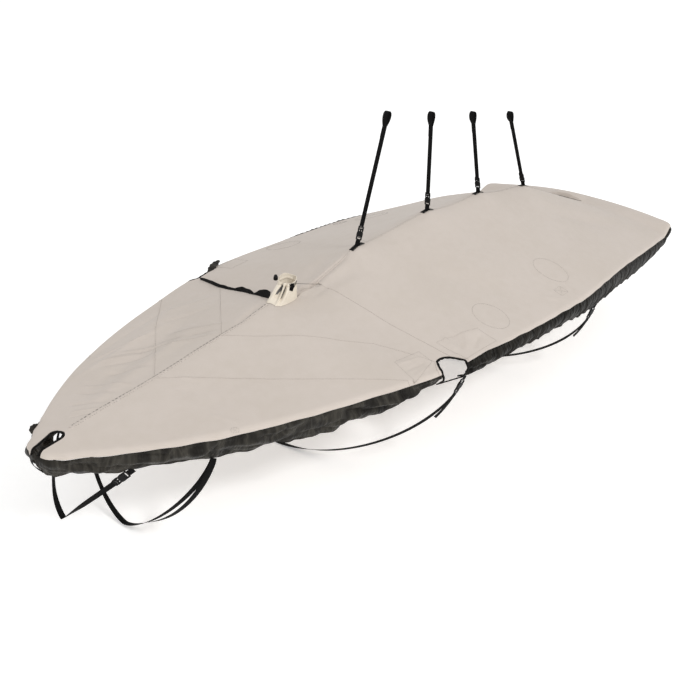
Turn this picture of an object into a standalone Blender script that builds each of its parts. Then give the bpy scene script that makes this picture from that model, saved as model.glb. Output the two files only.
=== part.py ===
"""Fitted mooring cover for a small two-handed sailing dinghy that is kept with its mast up.

Metres, +Z up, +X towards the bow, +Y to port.  The origin is on the centreline amidships, at the
height of the gunwale that the cover is fitted over.  The cover is a low tent of two-ply canvas:
a ridge down the centreline, panels that fall from it to the gunwale, and a nylon skirt that is
drawn in under the gunwale by an elastic hem.  The boat itself is not part of it.
"""
import math
from collections import namedtuple

import bpy
import numpy as np
from mathutils import Vector
from mathutils.bvhtree import BVHTree

# ---------------------------------------------------------------- cloth, webbing and gaps
CANVAS = 0.0020
NYLON = 0.0014
HEM_THICK = 0.0040
WEBBING_WIDTH = 0.025
WEBBING_THICK = 0.0018
SEWN_GAP = 0.0003
SEAM_SHIFT = 0.0005
SKIRT_SHIFT = 0.0008
LAID_GAP = 0.0006

# ---------------------------------------------------------------- the gunwale under the cover
HALF_LENGTH = 2.10
SHEER_TRIM = 0.005
SHEER_CROWN = 0.046
SHEER_LEVEL = 0.35
STERN_LIFT = 0.046
STARBOARD_SINK = 0.030
STERN_LIFT_FROM = -1.97
STERN_LIFT_RUN = 0.11
LEAST_BREADTH = 0.06
ROLL_RADIUS = 0.024
ROLL_LEAD = 0.02
ROLL_SLOPES = (0.02, 0.7)
RIDGE_ROUND = 0.03
RIDGE_HOLLOW = 0.12

# Plan of the gunwale on the port side, from the stem round to the middle of the transom.
# Columns: x, y.
GUNWALE = np.array([
    (2.115, 0.000), (2.112, 0.029), (2.100, 0.056), (2.075, 0.082), (2.000, 0.147),
    (1.850, 0.265), (1.650, 0.391), (1.450, 0.487), (1.200, 0.584), (1.000, 0.648),
    (0.750, 0.726), (0.500, 0.781), (0.250, 0.801), (0.000, 0.806), (-0.300, 0.813),
    (-0.600, 0.813), (-0.900, 0.785), (-1.200, 0.750), (-1.500, 0.725), (-1.750, 0.704),
    (-1.950, 0.682), (-2.075, 0.668), (-2.107, 0.660), (-2.122, 0.636), (-2.125, 0.560),
    (-2.127, 0.300), (-2.128, 0.000)])

# Height of the cover along the centreline, without the peaks under the lift straps.
# Columns: x, z.
RIDGE_X, RIDGE_Z = np.array([
    (-2.128, 0.058), (-2.030, 0.062), (-1.950, 0.060), (-1.800, 0.108), (-1.562, 0.190),
    (-1.331, 0.243), (-1.034, 0.288), (-0.810, 0.304), (-0.579, 0.308), (-0.308, 0.311),
    (-0.124, 0.308), (0.036, 0.294), (0.275, 0.264), (0.420, 0.236), (0.573, 0.194),
    (0.690, 0.172), (0.790, 0.169), (0.915, 0.170), (1.050, 0.140), (1.183, 0.118),
    (1.552, 0.058), (1.771, 0.030), (1.934, 0.007), (2.115, -0.016)]).T

# Roof section: a straight tent amidships, a round crown at the transom.
CROWN_FROM = -1.45
CROWN_RUN = 0.55
CROWN_POWER = 2.2

# ---------------------------------------------------------------- lift straps on the ridge
Lift = namedtuple("Lift", "foot_x peak top_x top_z")
LIFTS = (Lift(0.275, 0.026, 0.093, 0.905), Lift(-0.308, 0.027, -0.272, 0.852),
         Lift(-0.810, 0.026, -0.662, 0.798), Lift(-1.331, 0.024, -1.057, 0.742))
LIFT_FEET = np.array([lift.foot_x for lift in LIFTS])
PEAK_REACH = 0.11
PEAK_ROUND = 0.018
FOOT_LENGTH = 0.045
NECK_HEIGHT = 0.026
NECK_HALF = 0.0021
LOOP_HEIGHT = 0.070
LOOP_WIDTH = 0.034
LOOP_TAIL = 0.055
LOOP_STEPS = 14
LOOP_FULLNESS = 1.3
LOOP_DOUBLE = 0.0005
FOOT_SHOULDER = 2.2

# ---------------------------------------------------------------- creases that show from a step away
# Columns: x and y of one end, x and y of the other end, height, half width.
CREASE_FADE = 0.25
CREASES = np.array([
    (1.90, -0.05, 1.10, -0.20, 0.010, 0.040), (1.78, -0.16, 0.98, -0.33, -0.009, 0.045),
    (1.62, -0.28, 0.92, -0.50, 0.008, 0.045), (0.66, 0.03, 0.34, 0.10, -0.008, 0.035),
    (0.64, -0.04, 0.30, -0.12, -0.008, 0.040), (0.36, 0.62, 0.20, 0.70, 0.007, 0.040),
    (-1.20, 0.18, -1.72, 0.50, -0.010, 0.070), (-1.22, -0.15, -1.70, -0.46, -0.008, 0.070),
    (-2.03, -0.16, -2.03, 0.12, 0.014, 0.030), (0.10, 0.30, -0.20, 0.62, -0.006, 0.080)])

# ---------------------------------------------------------------- seams across the cover
# Each seam runs from the ridge through a knee to the gunwale.
# Columns: x at the ridge, x of the knee, y of the knee.
SEAM_B = {"port": (1.552, 1.168, 0.372), "starboard": (1.552, 1.220, 0.372)}
SEAM_B_EDGE = {"port": 0.800, "starboard": 0.950}
SEAM_C = {"port": (1.183, 0.705, 0.445), "starboard": (1.183, 0.722, 0.480)}
SEAM_D = (0.573, 0.540, 0.420)
CLOSURE = (0.832, 0.722, 0.480)
CLOSURE_BEND = (0.750, 0.290)

# Shroud cutouts: x where their two edges cross the gunwale, and the two corners between them.
Cutout = namedtuple("Cutout", "fore_x fore_corner aft_corner aft_x")
CUTOUTS = {"port": Cutout(0.628, (0.592, 0.694), (0.503, 0.716), 0.466),
           "starboard": Cutout(0.695, (0.652, 0.700), (0.545, 0.732), 0.490)}
CUTOUT_BOWS = {"port": 0.012, "starboard": 0.0}
CUTOUT_BOW_WAY = np.array([0.3, 1.0])
CUTOUT_STEPS = 5

# Openings along the centreline.
SLOT_END = 1.984
SLOT_TURN = 0.030
SLOT_STEPS = 6
SLOT_HALF = {"port": 0.026, "starboard": 0.044}
SLOT_MOUTH = {"port": 0.026, "starboard": 0.020}
MAST_HOLE_CENTRE = 0.790
MAST_HOLE_HALF_LENGTH = 0.052
MAST_HOLE_HALF_WIDTH = 0.031
HOLE_STEP = math.radians(22.5)
HOLE_LEAD_FORE = 0.02
HOLE_LEAD_AFT = 0.03

# Rows of a panel, from the ridge to the gunwale, as shares of the way.
ROW_SHARE = np.array([0.0, 0.03, 0.12, 0.30, 0.50, 0.69, 0.87, 1.0])
BEND_ROW = 3
KNEE_ROW = 4
RIM_ROW = 6
EDGE_ROW = 7
ROLL_ROWS = 2
POINT_SHARE = 0.97

# Columns of each panel, and how closely they keep to the bends of its seams.
BOW_COLUMNS = 7
BOW_LEAD = 0.13
BOW_HOLD = 2.0
FORE_COLUMNS = 6
MAST_LEAD_STEPS = 3
AFT_LEAD_STEPS = {"port": 4, "starboard": 5}
BETWEEN_LIFTS = [6, 5, 5, 3]
AFT_HOLD = 9.0

# Columns of a panel where the gunwale turns, as girths past the slot's edge and past QUARTER_FROM.
NOSE_GIRTHS = np.array([0.0, 0.036, 0.075, 0.115, 0.160, 0.210, 0.275, 0.345, 0.420])
QUARTER_FROM = -1.70
QUARTER_GIRTHS = np.array([0.13, 0.26, 0.35, 0.382, 0.402, 0.420, 0.445])
QUARTER_CORNER = 3
QUARTER_END = 0.49
FAN_LENGTH = 0.10
TRANSOM_COLUMNS = 13

# ---------------------------------------------------------------- skirt
# Depth of the hem under the gunwale, and how far down its roll the canvas reaches on each side.
# Columns: x, hem depth, canvas reach to port, canvas reach to starboard.
SKIRT_X, HEM_DEPTH, REACH_PORT, REACH_STARBOARD = np.array([
    (-2.128, 0.100, 0.95, 0.95), (-2.040, 0.098, 0.95, 0.95), (-1.900, 0.122, 0.90, 0.90),
    (-1.640, 0.150, 0.90, 0.85), (-1.220, 0.158, 0.85, 0.60), (-0.840, 0.150, 0.90, 0.22),
    (-0.640, 0.136, 0.95, 0.10), (-0.430, 0.120, 0.95, 0.05), (-0.200, 0.118, 0.90, 0.05),
    (0.000, 0.107, 0.80, 0.05), (0.185, 0.092, 0.55, 0.08), (0.345, 0.079, 0.25, 0.06),
    (0.430, 0.070, 0.45, 0.04), (0.610, 0.064, 0.85, 0.60), (0.780, 0.097, 0.90, 0.90),
    (1.000, 0.124, 0.95, 0.95), (1.170, 0.134, 0.95, 0.95), (1.400, 0.129, 0.95, 0.95),
    (1.760, 0.118, 0.95, 0.95), (2.030, 0.112, 0.95, 0.95), (2.115, 0.114, 0.95, 0.95)]).T
HEM_TUCK = 0.034
SKIRT_BULGE = 0.010
BULGE_POWER = 0.8
GATHER_FROM = 0.45
GATHER_RUN = 0.25
GATHER_PITCH = 0.105
GATHER_SWING = 0.0060
WANDER_PITCH = 0.61
WANDER_SWING = 1.4
DRAPE_PITCH = 0.95
DRAPE_SWING = 0.0050
DRAPE_SLANT = 1.2
DRAPE_FROM = 0.25
SKIRT_ROWS = np.array([0.0, 0.42, 0.86, 1.0])
SKIRT_STEP_FORE = 0.066
SKIRT_STEP_AFT = 0.026

# ---------------------------------------------------------------- bindings and closures
BINDING_WIDTH = 0.0065
BINDING_THICK = 0.0034
BINDING_GAP = 0.0007
BINDING_STOP = 0.92
BINDING_BRIDGE = 0.45
CLOSURE_WIDTH = 0.020
CLOSURE_STEPS = 26
CLOSURE_FROM = 0.062
CLOSURE_TO = 0.672
CLOSURE_TILT = math.radians(38)
CLOSURE_SWING = math.radians(30)
CLOSURE_WAVES = 3.4
CLOSURE_FEEL = (0.0, 0.002, -0.002)
CLOSURE_FOOT = 0.3
STEM_STRIP_WIDTH = 0.020
STEM_STRIP_GIRTH = 0.010

# The slit across the cover ahead of the transom.
SLIT_X = -1.968
SLIT_SPAN = (-0.135, 0.105)
SLIT_HALF = 0.009
SLIT_POINTS = 7
SLIT_POWER = 0.6
SLIT_HEIGHTS = (0.0, 0.16)

# Steps to each side when the canvas is felt for, so that no gap of a seam is fallen into.
FEEL_STEPS = ((0, 0), (0.0012, 0.0006), (-0.0012, -0.0006), (0.0012, -0.0006))
FEEL_FROM = 1.0

# ---------------------------------------------------------------- mast collar
COLLAR_FRONT = 0.882
COLLAR_BACK = 0.722
COLLAR_HALF_FRONT = 0.045
COLLAR_HALF_BACK = 0.036
COLLAR_TOP_CENTRE = 0.772
COLLAR_TOP_RADIUS = 0.044
COLLAR_TOP_Z = 0.262
COLLAR_TOP_TILT = 0.008
COLLAR_POINTS = 28
COLLAR_ROWS = 6
COLLAR_SQUARE = 0.62
COLLAR_TOP_SQUASH = 0.9
COLLAR_TOP_TURN = 0.6
COLLAR_TAPER = 1.5
COLLAR_OUT_SLOPE = 0.25
FOLD_FROM = 0.25
# Columns: bearing and half width in degrees, depth.
COLLAR_FOLDS = ((8, 9, -0.006), (28, 8, 0.004), (44, 8, -0.006), (-30, 10, 0.003))
TAB_WIDTH = 0.020
TAB_BEARING = math.radians(78)
TAB_DROP = 0.034
TAB_SHARES = np.array([1.0, 0.86, 0.72, 0.58])
LOCK_BEARING = math.radians(-62)
LOCK_OFF = 0.0125
LOCK_DROP = 0.002
LOCK_RADIUS = 0.0105
LOCK_HEIGHT = 0.026
LOCK_SIDES = 10
# Columns: level as a share of the height, radius as a share of the widest.
LOCK_PROFILE = ((-0.5, 0.55), (-0.36, 1.0), (0.12, 1.0), (0.22, 0.7), (0.5, 0.7))

# ---------------------------------------------------------------- straps under the hull
# Each runs from the hem on one side, round the hull bottom and up to the hem on the other side.
# A tail lies beside its strap, a little off it half way along and at its end.
HullStrap = namedtuple("HullStrap", "hem_x keel_x keel_z fullness tab tail tail_sag tail_end")
HULL_STRAPS = {
    "bow": HullStrap(1.872, 2.020, -0.365, 1.05, 0.026, 0.0, 0.0, 0.0),
    "fore": HullStrap(1.615, 1.735, -0.540, 1.45, 0.0, 0.44, 0.030, 0.002),
    "mid": HullStrap(0.430, 0.830, -0.550, 1.80, 0.020, 0.14, 0.0, 0.016),
    "aft": HullStrap(-0.900, -0.500, -0.520, 2.10, 0.020, 0.12, 0.0, 0.016)}
STRAP_STEPS = 22
STRAP_FINE_STEPS = 121
STRAP_DROP = 0.0005
STRAP_INSET = 0.0006
STRAP_LEAD = 0.010
# Share of the half breadth at which a strap lies fully along the hem.
STRAP_LIE = 0.45
TAIL_GAP = 0.0007
TAIL_STEPS = 8
BUCKLE_LENGTH = 0.066
BUCKLE_WIDTH = 0.033
BUCKLE_THICK = 0.010
# Outline of half a buckle.  Columns: place along it, half width, as shares of length and width.
BUCKLE_OUTLINE = ((-0.50, 0.40), (-0.42, 0.48), (-0.10, 0.50), (0.02, 0.42), (0.14, 0.37),
                  (0.24, 0.44), (0.42, 0.50), (0.50, 0.42))
# Columns: level as a share of the thickness, share of the length, share of the width.
BUCKLE_LEVELS = ((-0.5, 0.97, 0.86), (-0.25, 1.0, 1.0), (0.25, 1.0, 1.0), (0.5, 0.97, 0.86))
BUCKLE_THIN_FROM = 0.36
BUCKLE_THIN = 0.45

COLOURS = {
    "canvas": ((0.60, 0.55, 0.48), 0.85), "canvas_collar": ((0.72, 0.66, 0.56), 0.85),
    "nylon": ((0.022, 0.020, 0.019), 0.55), "webbing": ((0.012, 0.012, 0.013), 0.70),
    "plastic": ((0.010, 0.010, 0.011), 0.40)}
PORT, STARBOARD = 1.0, -1.0
ACROSS = np.array([0.0, 1.0, 0.0])
LEVEL = np.array([1.0, 1.0, 0.0])
FLIP = np.array([1.0, -1.0, 1.0])
SIDES = {"port": PORT, "starboard": STARBOARD}


# ================================================================ curves
def hermite(at, knots, values):
    """Smooth curve through a table: a cubic between rows, with the table's own slopes."""
    at = np.clip(np.asarray(at, float), knots[0], knots[-1])
    slopes = np.gradient(values, knots, axis=0)
    row = np.clip(np.searchsorted(knots, at, side="right") - 1, 0, len(knots) - 2)
    step = knots[row + 1] - knots[row]
    share = (at - knots[row]) / step
    if values.ndim == 2:
        share, step = share[..., None], step[..., None]
    rest = 1 - share
    return ((1 + 2 * share) * rest ** 2 * values[row] + share * rest ** 2 * step * slopes[row]
            + share ** 2 * (3 - 2 * share) * values[row + 1]
            - share ** 2 * rest * step * slopes[row + 1])


def ease(share):
    """Smooth step from 0 to 1."""
    share = np.clip(share, 0.0, 1.0)
    return share * share * (3 - 2 * share)


MIRROR = np.array([1.0, -1.0])
ROUND_PLAN = np.vstack([GUNWALE[2:0:-1] * MIRROR, GUNWALE, GUNWALE[-2:-4:-1] * MIRROR])
CHORD = np.concatenate([[0.0], np.cumsum(np.hypot(*np.diff(ROUND_PLAN, axis=0).T))])
CHORD -= CHORD[2]
GIRTH = CHORD[-3]
FINE = np.linspace(0.0, GIRTH, 4001)
FINE_PLAN = hermite(FINE, CHORD, ROUND_PLAN)
SIDE_END = -2.075
CORNER = int(np.argmin(np.abs(FINE_PLAN[:, 0] - SIDE_END)))
SIDE_X = FINE_PLAN[:CORNER, 0][::-1]
SIDE_Y = FINE_PLAN[:CORNER, 1][::-1]
SIDE_S = FINE[:CORNER][::-1]


def plan(s):
    """Point and outward normal of the gunwale's plan, s metres round from the stem."""
    small = 0.002
    along = (hermite(np.asarray(s) + small, CHORD, ROUND_PLAN)
             - hermite(np.asarray(s) - small, CHORD, ROUND_PLAN))
    along /= np.linalg.norm(along, axis=-1, keepdims=True)
    return hermite(s, CHORD, ROUND_PLAN), np.stack([along[..., 1], -along[..., 0]], axis=-1)


def girth_at(x):
    """Distance round from the stem to the side station x."""
    return np.interp(x, SIDE_X, SIDE_S)


def half_breadth(x):
    return np.maximum(np.interp(x, SIDE_X, SIDE_Y), LEAST_BREADTH)


def sheer(x):
    along = np.asarray(x) / HALF_LENGTH
    lift = STERN_LIFT * ease((STERN_LIFT_FROM - np.asarray(x)) / STERN_LIFT_RUN)
    return SHEER_TRIM * along - SHEER_CROWN * (along ** 2 - SHEER_LEVEL) + lift


def crease(x, y):
    """Sum of soft ridges and troughs, each a bell across its line that fades at both ends."""
    total = 0.0
    for x0, y0, x1, y1, height, half in CREASES:
        run_x, run_y = x1 - x0, y1 - y0
        share = ((x - x0) * run_x + (y - y0) * run_y) / (run_x ** 2 + run_y ** 2)
        off = ((x - x0) * run_y - (y - y0) * run_x) / math.hypot(run_x, run_y)
        fade = ease(share / CREASE_FADE) * ease((1 - share) / CREASE_FADE)
        total = total + height * fade * np.exp(-(off / half) ** 2)
    return total


def top(x, y):
    """Height of the canvas at a point of the plan: tent section, strap peaks and creases."""
    x, y = np.asarray(x, float), np.asarray(y, float)
    base = sheer(x)
    rise = hermite(x, RIDGE_X, RIDGE_Z) - base
    out = np.abs(y) / half_breadth(x)
    out = np.sqrt(out ** 2 + RIDGE_ROUND ** 2) - RIDGE_ROUND
    out = np.minimum(out / (math.hypot(1, RIDGE_ROUND) - RIDGE_ROUND), 1.0)
    crown = ease((CROWN_FROM - x) / CROWN_RUN)
    power = 1 + (CROWN_POWER - 1) * crown
    section = 1 - out ** power - RIDGE_HOLLOW * (1 - crown) * out * (1 - out)
    peaks = 0.0
    for lift in LIFTS:
        away = np.sqrt((x - lift.foot_x) ** 2 + y ** 2 + PEAK_ROUND ** 2) - PEAK_ROUND
        peaks = peaks + lift.peak * np.exp(-away / PEAK_REACH)
    sink = STARBOARD_SINK * ease((CROWN_FROM - x) / CROWN_RUN) * ease(-y / half_breadth(x))
    return base + rise * section + peaks * (1 - out) + crease(x, y) * (1 - out ** 6) - sink


def top_normal(x, y):
    small = 0.003
    slope_x = (top(x + small, y) - top(x - small, y)) / (2 * small)
    slope_y = (top(x, y + small) - top(x, y - small)) / (2 * small)
    normal = np.stack([-slope_x, -slope_y, np.ones_like(slope_x)], axis=-1)
    return normal / np.linalg.norm(normal, axis=-1, keepdims=True)


# ================================================================ the roll over the gunwale
def rim(s, side):
    """Plan point, outward normal, slope and height where the canvas starts its roll."""
    point, outward = plan(s)
    inner = point - ROLL_RADIUS * outward
    step = inner - ROLL_LEAD * outward
    fall = top(step[..., 0], side * step[..., 1]) - top(inner[..., 0], side * inner[..., 1])
    slope = np.clip(np.arctan(fall / ROLL_LEAD), *ROLL_SLOPES)
    start = point - ROLL_RADIUS * (1 - np.sin(slope))[..., None] * outward
    return start, outward, slope, top(start[..., 0], side * start[..., 1])


def reach(s, side):
    """Arc length from the start of the roll to the seam between canvas and skirt."""
    slope = rim(s, side)[2]
    share = hermite(plan(s)[0][..., 0], SKIRT_X, REACH_PORT if side > 0 else REACH_STARBOARD)
    return share * ROLL_RADIUS * (math.pi / 2 - slope)


def hem(s, side):
    """Arc length from the start of the roll to the hem."""
    slope = rim(s, side)[2]
    depth = hermite(plan(s)[0][..., 0], SKIRT_X, HEM_DEPTH)
    return ROLL_RADIUS * (math.pi / 2 - slope) + depth - ROLL_RADIUS * np.cos(slope)


def over_edge(s, q, side):
    """Point q metres past the start of the roll: a quarter round, then the hanging skirt."""
    point, outward = plan(s)
    start, _, slope, height = rim(s, side)
    arc = ROLL_RADIUS * (math.pi / 2 - slope)
    turn = slope + np.minimum(q, arc) / ROLL_RADIUS
    out = -ROLL_RADIUS * (1 - np.sin(turn))
    down = height - ROLL_RADIUS * (np.cos(slope) - np.cos(turn))
    drop = np.maximum(q - arc, 0.0)
    share = np.clip(drop / np.maximum(hem(s, side) - arc, 0.01), 0.0, 1.0)
    gathered = ease((GATHER_FROM - point[..., 0]) / GATHER_RUN)
    wander = WANDER_SWING * np.sin(2 * math.pi * s / WANDER_PITCH)
    gather = GATHER_SWING * np.sin(2 * math.pi * s / GATHER_PITCH + wander) * share
    drape = DRAPE_SWING * np.sin(2 * math.pi * (s / DRAPE_PITCH + DRAPE_SLANT * share) + side)
    drape = drape * np.sin(math.pi * share) * ease(s / DRAPE_FROM)
    bulge = SKIRT_BULGE * np.sin(math.pi * share ** BULGE_POWER)
    out = out + bulge - HEM_TUCK * share ** 2 + gathered * gather + (1 - gathered) * drape
    where = point + out[..., None] * outward
    return np.stack([where[..., 0], side * where[..., 1], down - drop], axis=-1)


def over_edge_normal(s, q, side):
    small = 0.004
    round_way = over_edge(s + small, q, side) - over_edge(s - small, q, side)
    down_way = over_edge(s, q + 0.001, side) - over_edge(s, q - 0.001, side)
    normal = np.cross(down_way, round_way) * side
    return normal / np.linalg.norm(normal, axis=-1, keepdims=True)


# ================================================================ meshes
def unit(vector):
    return vector / np.linalg.norm(vector, axis=-1, keepdims=True)


def material(slot):
    made = bpy.data.materials.get(slot)
    if made is None:
        colour, roughness = COLOURS[slot]
        made = bpy.data.materials.new(slot)
        made.use_nodes = True
        shader = made.node_tree.nodes["Principled BSDF"]
        shader.inputs["Base Color"].default_value = (*colour, 1.0)
        shader.inputs["Roughness"].default_value = roughness
        shader.inputs["Metallic"].default_value = 0.0
    return made


def add_object(name, points, faces, slot):
    """Object from points and faces; the faces are turned outwards if the solid is inside out."""
    mesh = bpy.data.meshes.new(name)
    points = np.asarray(points, float).reshape(-1, 3)
    volume = 0.0
    for face in faces:
        corner = points[face[0]]
        for a, b in zip(face[1:-1], face[2:]):
            volume += np.dot(corner, np.cross(points[a], points[b]))
    if volume < 0:
        faces = [tuple(reversed(face)) for face in faces]
    mesh.from_pydata(points.tolist(), [], faces)
    mesh.shade_smooth()
    mesh.set_sharp_from_angle(angle=math.radians(35))
    mesh.materials.append(material(slot))
    made = bpy.data.objects.new(name, mesh)
    bpy.context.scene.collection.objects.link(made)
    return made


def sheet(name, outer, normal, thick, slot):
    """Closed thin solid: a grid of outer points and a second grid offset inwards from it."""
    rows, columns = outer.shape[:2]
    inner = outer - normal * np.broadcast_to(thick, (rows, columns))[..., None]
    points = np.concatenate([outer.reshape(-1, 3), inner.reshape(-1, 3)])
    index = np.arange(2 * rows * columns).reshape(2, rows, columns)
    faces = []
    for i in range(rows - 1):
        for j in range(columns - 1):
            for layer, order in ((0, (0, 1, 2, 3)), (1, (3, 2, 1, 0))):
                ring = (index[layer, i, j], index[layer, i + 1, j],
                        index[layer, i + 1, j + 1], index[layer, i, j + 1])
                faces.extend(split(points, tuple(int(ring[k]) for k in order)))
    edge = ([(i, 0) for i in range(rows)] + [(rows - 1, j) for j in range(1, columns)]
            + [(i, columns - 1) for i in range(rows - 2, -1, -1)]
            + [(0, j) for j in range(columns - 2, 0, -1)])
    for (i, j), (k, m) in zip(edge, edge[1:] + edge[:1]):
        faces.append((int(index[0, k, m]), int(index[0, i, j]), int(index[1, i, j]),
                      int(index[1, k, m])))
    return add_object(name, points, faces, slot)


def split(points, quad):
    """Two triangles of a quad, cut along its shorter diagonal."""
    a, b, c, d = quad
    if np.linalg.norm(points[a] - points[c]) <= np.linalg.norm(points[b] - points[d]):
        return [(a, b, c), (a, c, d)]
    return [(a, b, d), (b, c, d)]


def ribbon(name, path, face, slot, width=WEBBING_WIDTH, thick=WEBBING_THICK, loop=False, inset=0.0,
           ends=(None, None)):
    """Flat band along a path: face is the normal of its flat side, inset moves it off the path.

    ends gives the line that the band's first and last edge lie along where they aren't cut square.
    """
    path, face = np.asarray(path, float), np.asarray(face, float)
    if loop:
        ahead, behind = np.roll(path, -1, axis=0), np.roll(path, 1, axis=0)
    else:
        ahead = np.vstack([path[1:], 2 * path[-1] - path[-2]])
        behind = np.vstack([2 * path[0] - path[1], path[:-1]])
    fore = unit(ahead - path)
    aft = unit(path - behind)
    along = unit(fore + aft)
    face = unit(face - np.sum(face * along, axis=1, keepdims=True) * along)
    across = np.cross(along, face)
    mitre = 1 / np.maximum(np.sum(fore * along, axis=1, keepdims=True), 0.5)
    for row, line in zip((0, -1), ends):
        if line is not None:
            across[row] = line * np.sign(np.dot(line, across[row]))
            face[row] = unit(face[row] * LEVEL)
    near = path + across * (inset - width / 2) * mitre
    far = path + across * (inset + width / 2) * mitre
    rings = np.stack([near - face * thick / 2, far - face * thick / 2,
                      far + face * thick / 2, near + face * thick / 2], axis=1)
    count = len(path)
    points = rings.reshape(-1, 3)
    faces = []
    for i in range(count if loop else count - 1):
        for k in range(4):
            a, b = 4 * i + k, 4 * i + (k + 1) % 4
            c, d = (a + 4) % (4 * count), (b + 4) % (4 * count)
            faces.extend(split(points, (a, b, d, c)))
    if not loop:
        last = 4 * (count - 1)
        faces.append((3, 2, 1, 0))
        faces.append((last, last + 1, last + 2, last + 3))
    return add_object(name, points, faces, slot)


# ================================================================ canvas panels
def centre_gap(x, side):
    """Half width of what is open on the centreline: the bow slot, the mast hole or a seam."""
    half = np.full(np.shape(x), SEWN_GAP / 2)
    mast = 1 - ((np.asarray(x) - MAST_HOLE_CENTRE) / MAST_HOLE_HALF_LENGTH) ** 2
    half = np.where(mast > 0, np.maximum(MAST_HOLE_HALF_WIDTH * np.sqrt(np.maximum(mast, 0)), half), half)
    turn = np.clip((SLOT_END + SLOT_TURN - np.asarray(x)) / SLOT_TURN, 0.0, 1.0)
    width = SLOT_HALF["port" if side > 0 else "starboard"] * np.sqrt(1 - turn ** 2)
    return np.where(np.asarray(x) > SLOT_END, np.maximum(width, half), half)


def through(rows, points):
    """A column of plan points that passes the given points at the given rows."""
    points = np.asarray(points, float)
    at = np.arange(rows[-1] + 1)
    share = ROW_SHARE[:rows[-1] + 1]
    knots = share[list(rows)]
    return np.stack([np.interp(share[at], knots, points[:, k]) for k in (0, 1)], axis=1)


def edge_point(s, side):
    return rim(np.asarray(s, float), side)[0]


def seam(table, edge_x, side, stops=(), bend=(), shift=0.0):
    """Plan points of a seam from the ridge through its knee and any stops to the gunwale."""
    ridge_x, knee_x, knee_y = table
    start = (ridge_x + shift, float(centre_gap(ridge_x + shift, side)))
    end = edge_point(girth_at(edge_x + shift), side)
    moved = [(x + shift, y) for x, y in (*bend, (knee_x, knee_y), *stops)]
    rows = (0, *(BEND_ROW,) * len(bend), KNEE_ROW, *range(EDGE_ROW - len(stops), EDGE_ROW), EDGE_ROW)
    return through(rows, (start, *moved, end))


def panel(name, side, ridge_x, edge, fore, aft, hold=1.0, roll=True):
    """Canvas panel between two seams.

    Straight columns run from the ridge to the edge; the seams' own bends are added to them and
    fade with the power hold away from each seam.  edge is the girth of each column's lower end,
    or the plan points of the lower ends where the panel stops short of the gunwale.
    """
    count = len(ridge_x)
    share = ROW_SHARE[:len(fore)] / ROW_SHARE[len(fore) - 1]
    start = np.stack([ridge_x, centre_gap(ridge_x, side)], axis=1)
    end = edge_point(edge, side) if roll else np.asarray(edge, float)
    start[0], start[-1] = fore[0], aft[0]
    end[0], end[-1] = fore[-1], aft[-1]
    flat = start[:, None] + (end - start)[:, None] * share[None, :, None]
    part_way = np.linspace(0.0, 1.0, count)[:, None, None]
    flat = flat + (fore - flat[0]) * (1 - part_way) ** hold + (aft - flat[-1]) * part_way ** hold
    x, y = flat[..., 0], side * flat[..., 1]
    outer = np.stack([x, y, top(x, y)], axis=-1)
    normal = top_normal(x, y)
    if roll:
        girth = np.repeat(np.asarray(edge, float)[:, None], ROLL_ROWS, axis=1)
        share = np.arange(1, ROLL_ROWS + 1) / ROLL_ROWS
        length = reach(girth, side) * share
        outer = np.concatenate([outer, over_edge(girth, length, side)], axis=1)
        normal = np.concatenate([normal, over_edge_normal(girth, length, side)], axis=1)
    return sheet(name, outer, normal, CANVAS, "canvas")


def spaced(stops, counts):
    """Stations that pass every stop, with the given number of steps between stops."""
    runs = [np.linspace(a, b, n, endpoint=False) for a, b, n in zip(stops[:-1], stops[1:], counts)]
    return np.concatenate(runs + [stops[-1:]])


def mast_hole_stations(fore, aft):
    """Ridge stations round the mast hole, closer together at its two ends."""
    turn = np.arccos(np.clip((np.array([fore, aft]) - MAST_HOLE_CENTRE) / MAST_HOLE_HALF_LENGTH, -1, 1))
    steps = max(2, int(round(abs(turn[1] - turn[0]) / HOLE_STEP)))
    around = np.linspace(turn[0], turn[1], steps + 1)
    return MAST_HOLE_CENTRE + MAST_HOLE_HALF_LENGTH * np.cos(around)


def slot_girth(side):
    """Girth at which the gunwale's rim is as far out as the slot's edge at its mouth."""
    near = np.linspace(0.0, 0.12, 241)
    out = edge_point(near, side)[:, 1]
    return float(np.interp(SLOT_MOUTH["port" if side > 0 else "starboard"], out, near))


def slot_stations():
    """Ridge stations round the closed end of the bow slot, from its side to its middle."""
    return SLOT_END + SLOT_TURN * (1 - np.sin(np.linspace(0, math.pi / 2, SLOT_STEPS)))


def slot_edge(side):
    """Plan points of the straight side of the slot, from its closed end to the gunwale."""
    start = (SLOT_END + SLOT_TURN, float(centre_gap(SLOT_END + SLOT_TURN, side)))
    return through((0, EDGE_ROW), (start, edge_point(slot_girth(side), side)))


def bow_panel(word, side):
    nose = slot_girth(side) + NOSE_GIRTHS
    last = float(girth_at(SEAM_B_EDGE[word]))
    edge = np.concatenate([nose, np.linspace(nose[-1] + BOW_LEAD, last, BOW_COLUMNS)])
    ridge_x = np.interp(edge, [nose[SLOT_STEPS - 1], last], [SLOT_END, SEAM_B[word][0]])
    ridge_x[:SLOT_STEPS] = slot_stations()
    aft = seam(SEAM_B[word], SEAM_B_EDGE[word], side)
    return panel(f"panel_bow_{word}", side, ridge_x, edge, slot_edge(side), aft, hold=BOW_HOLD)


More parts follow.
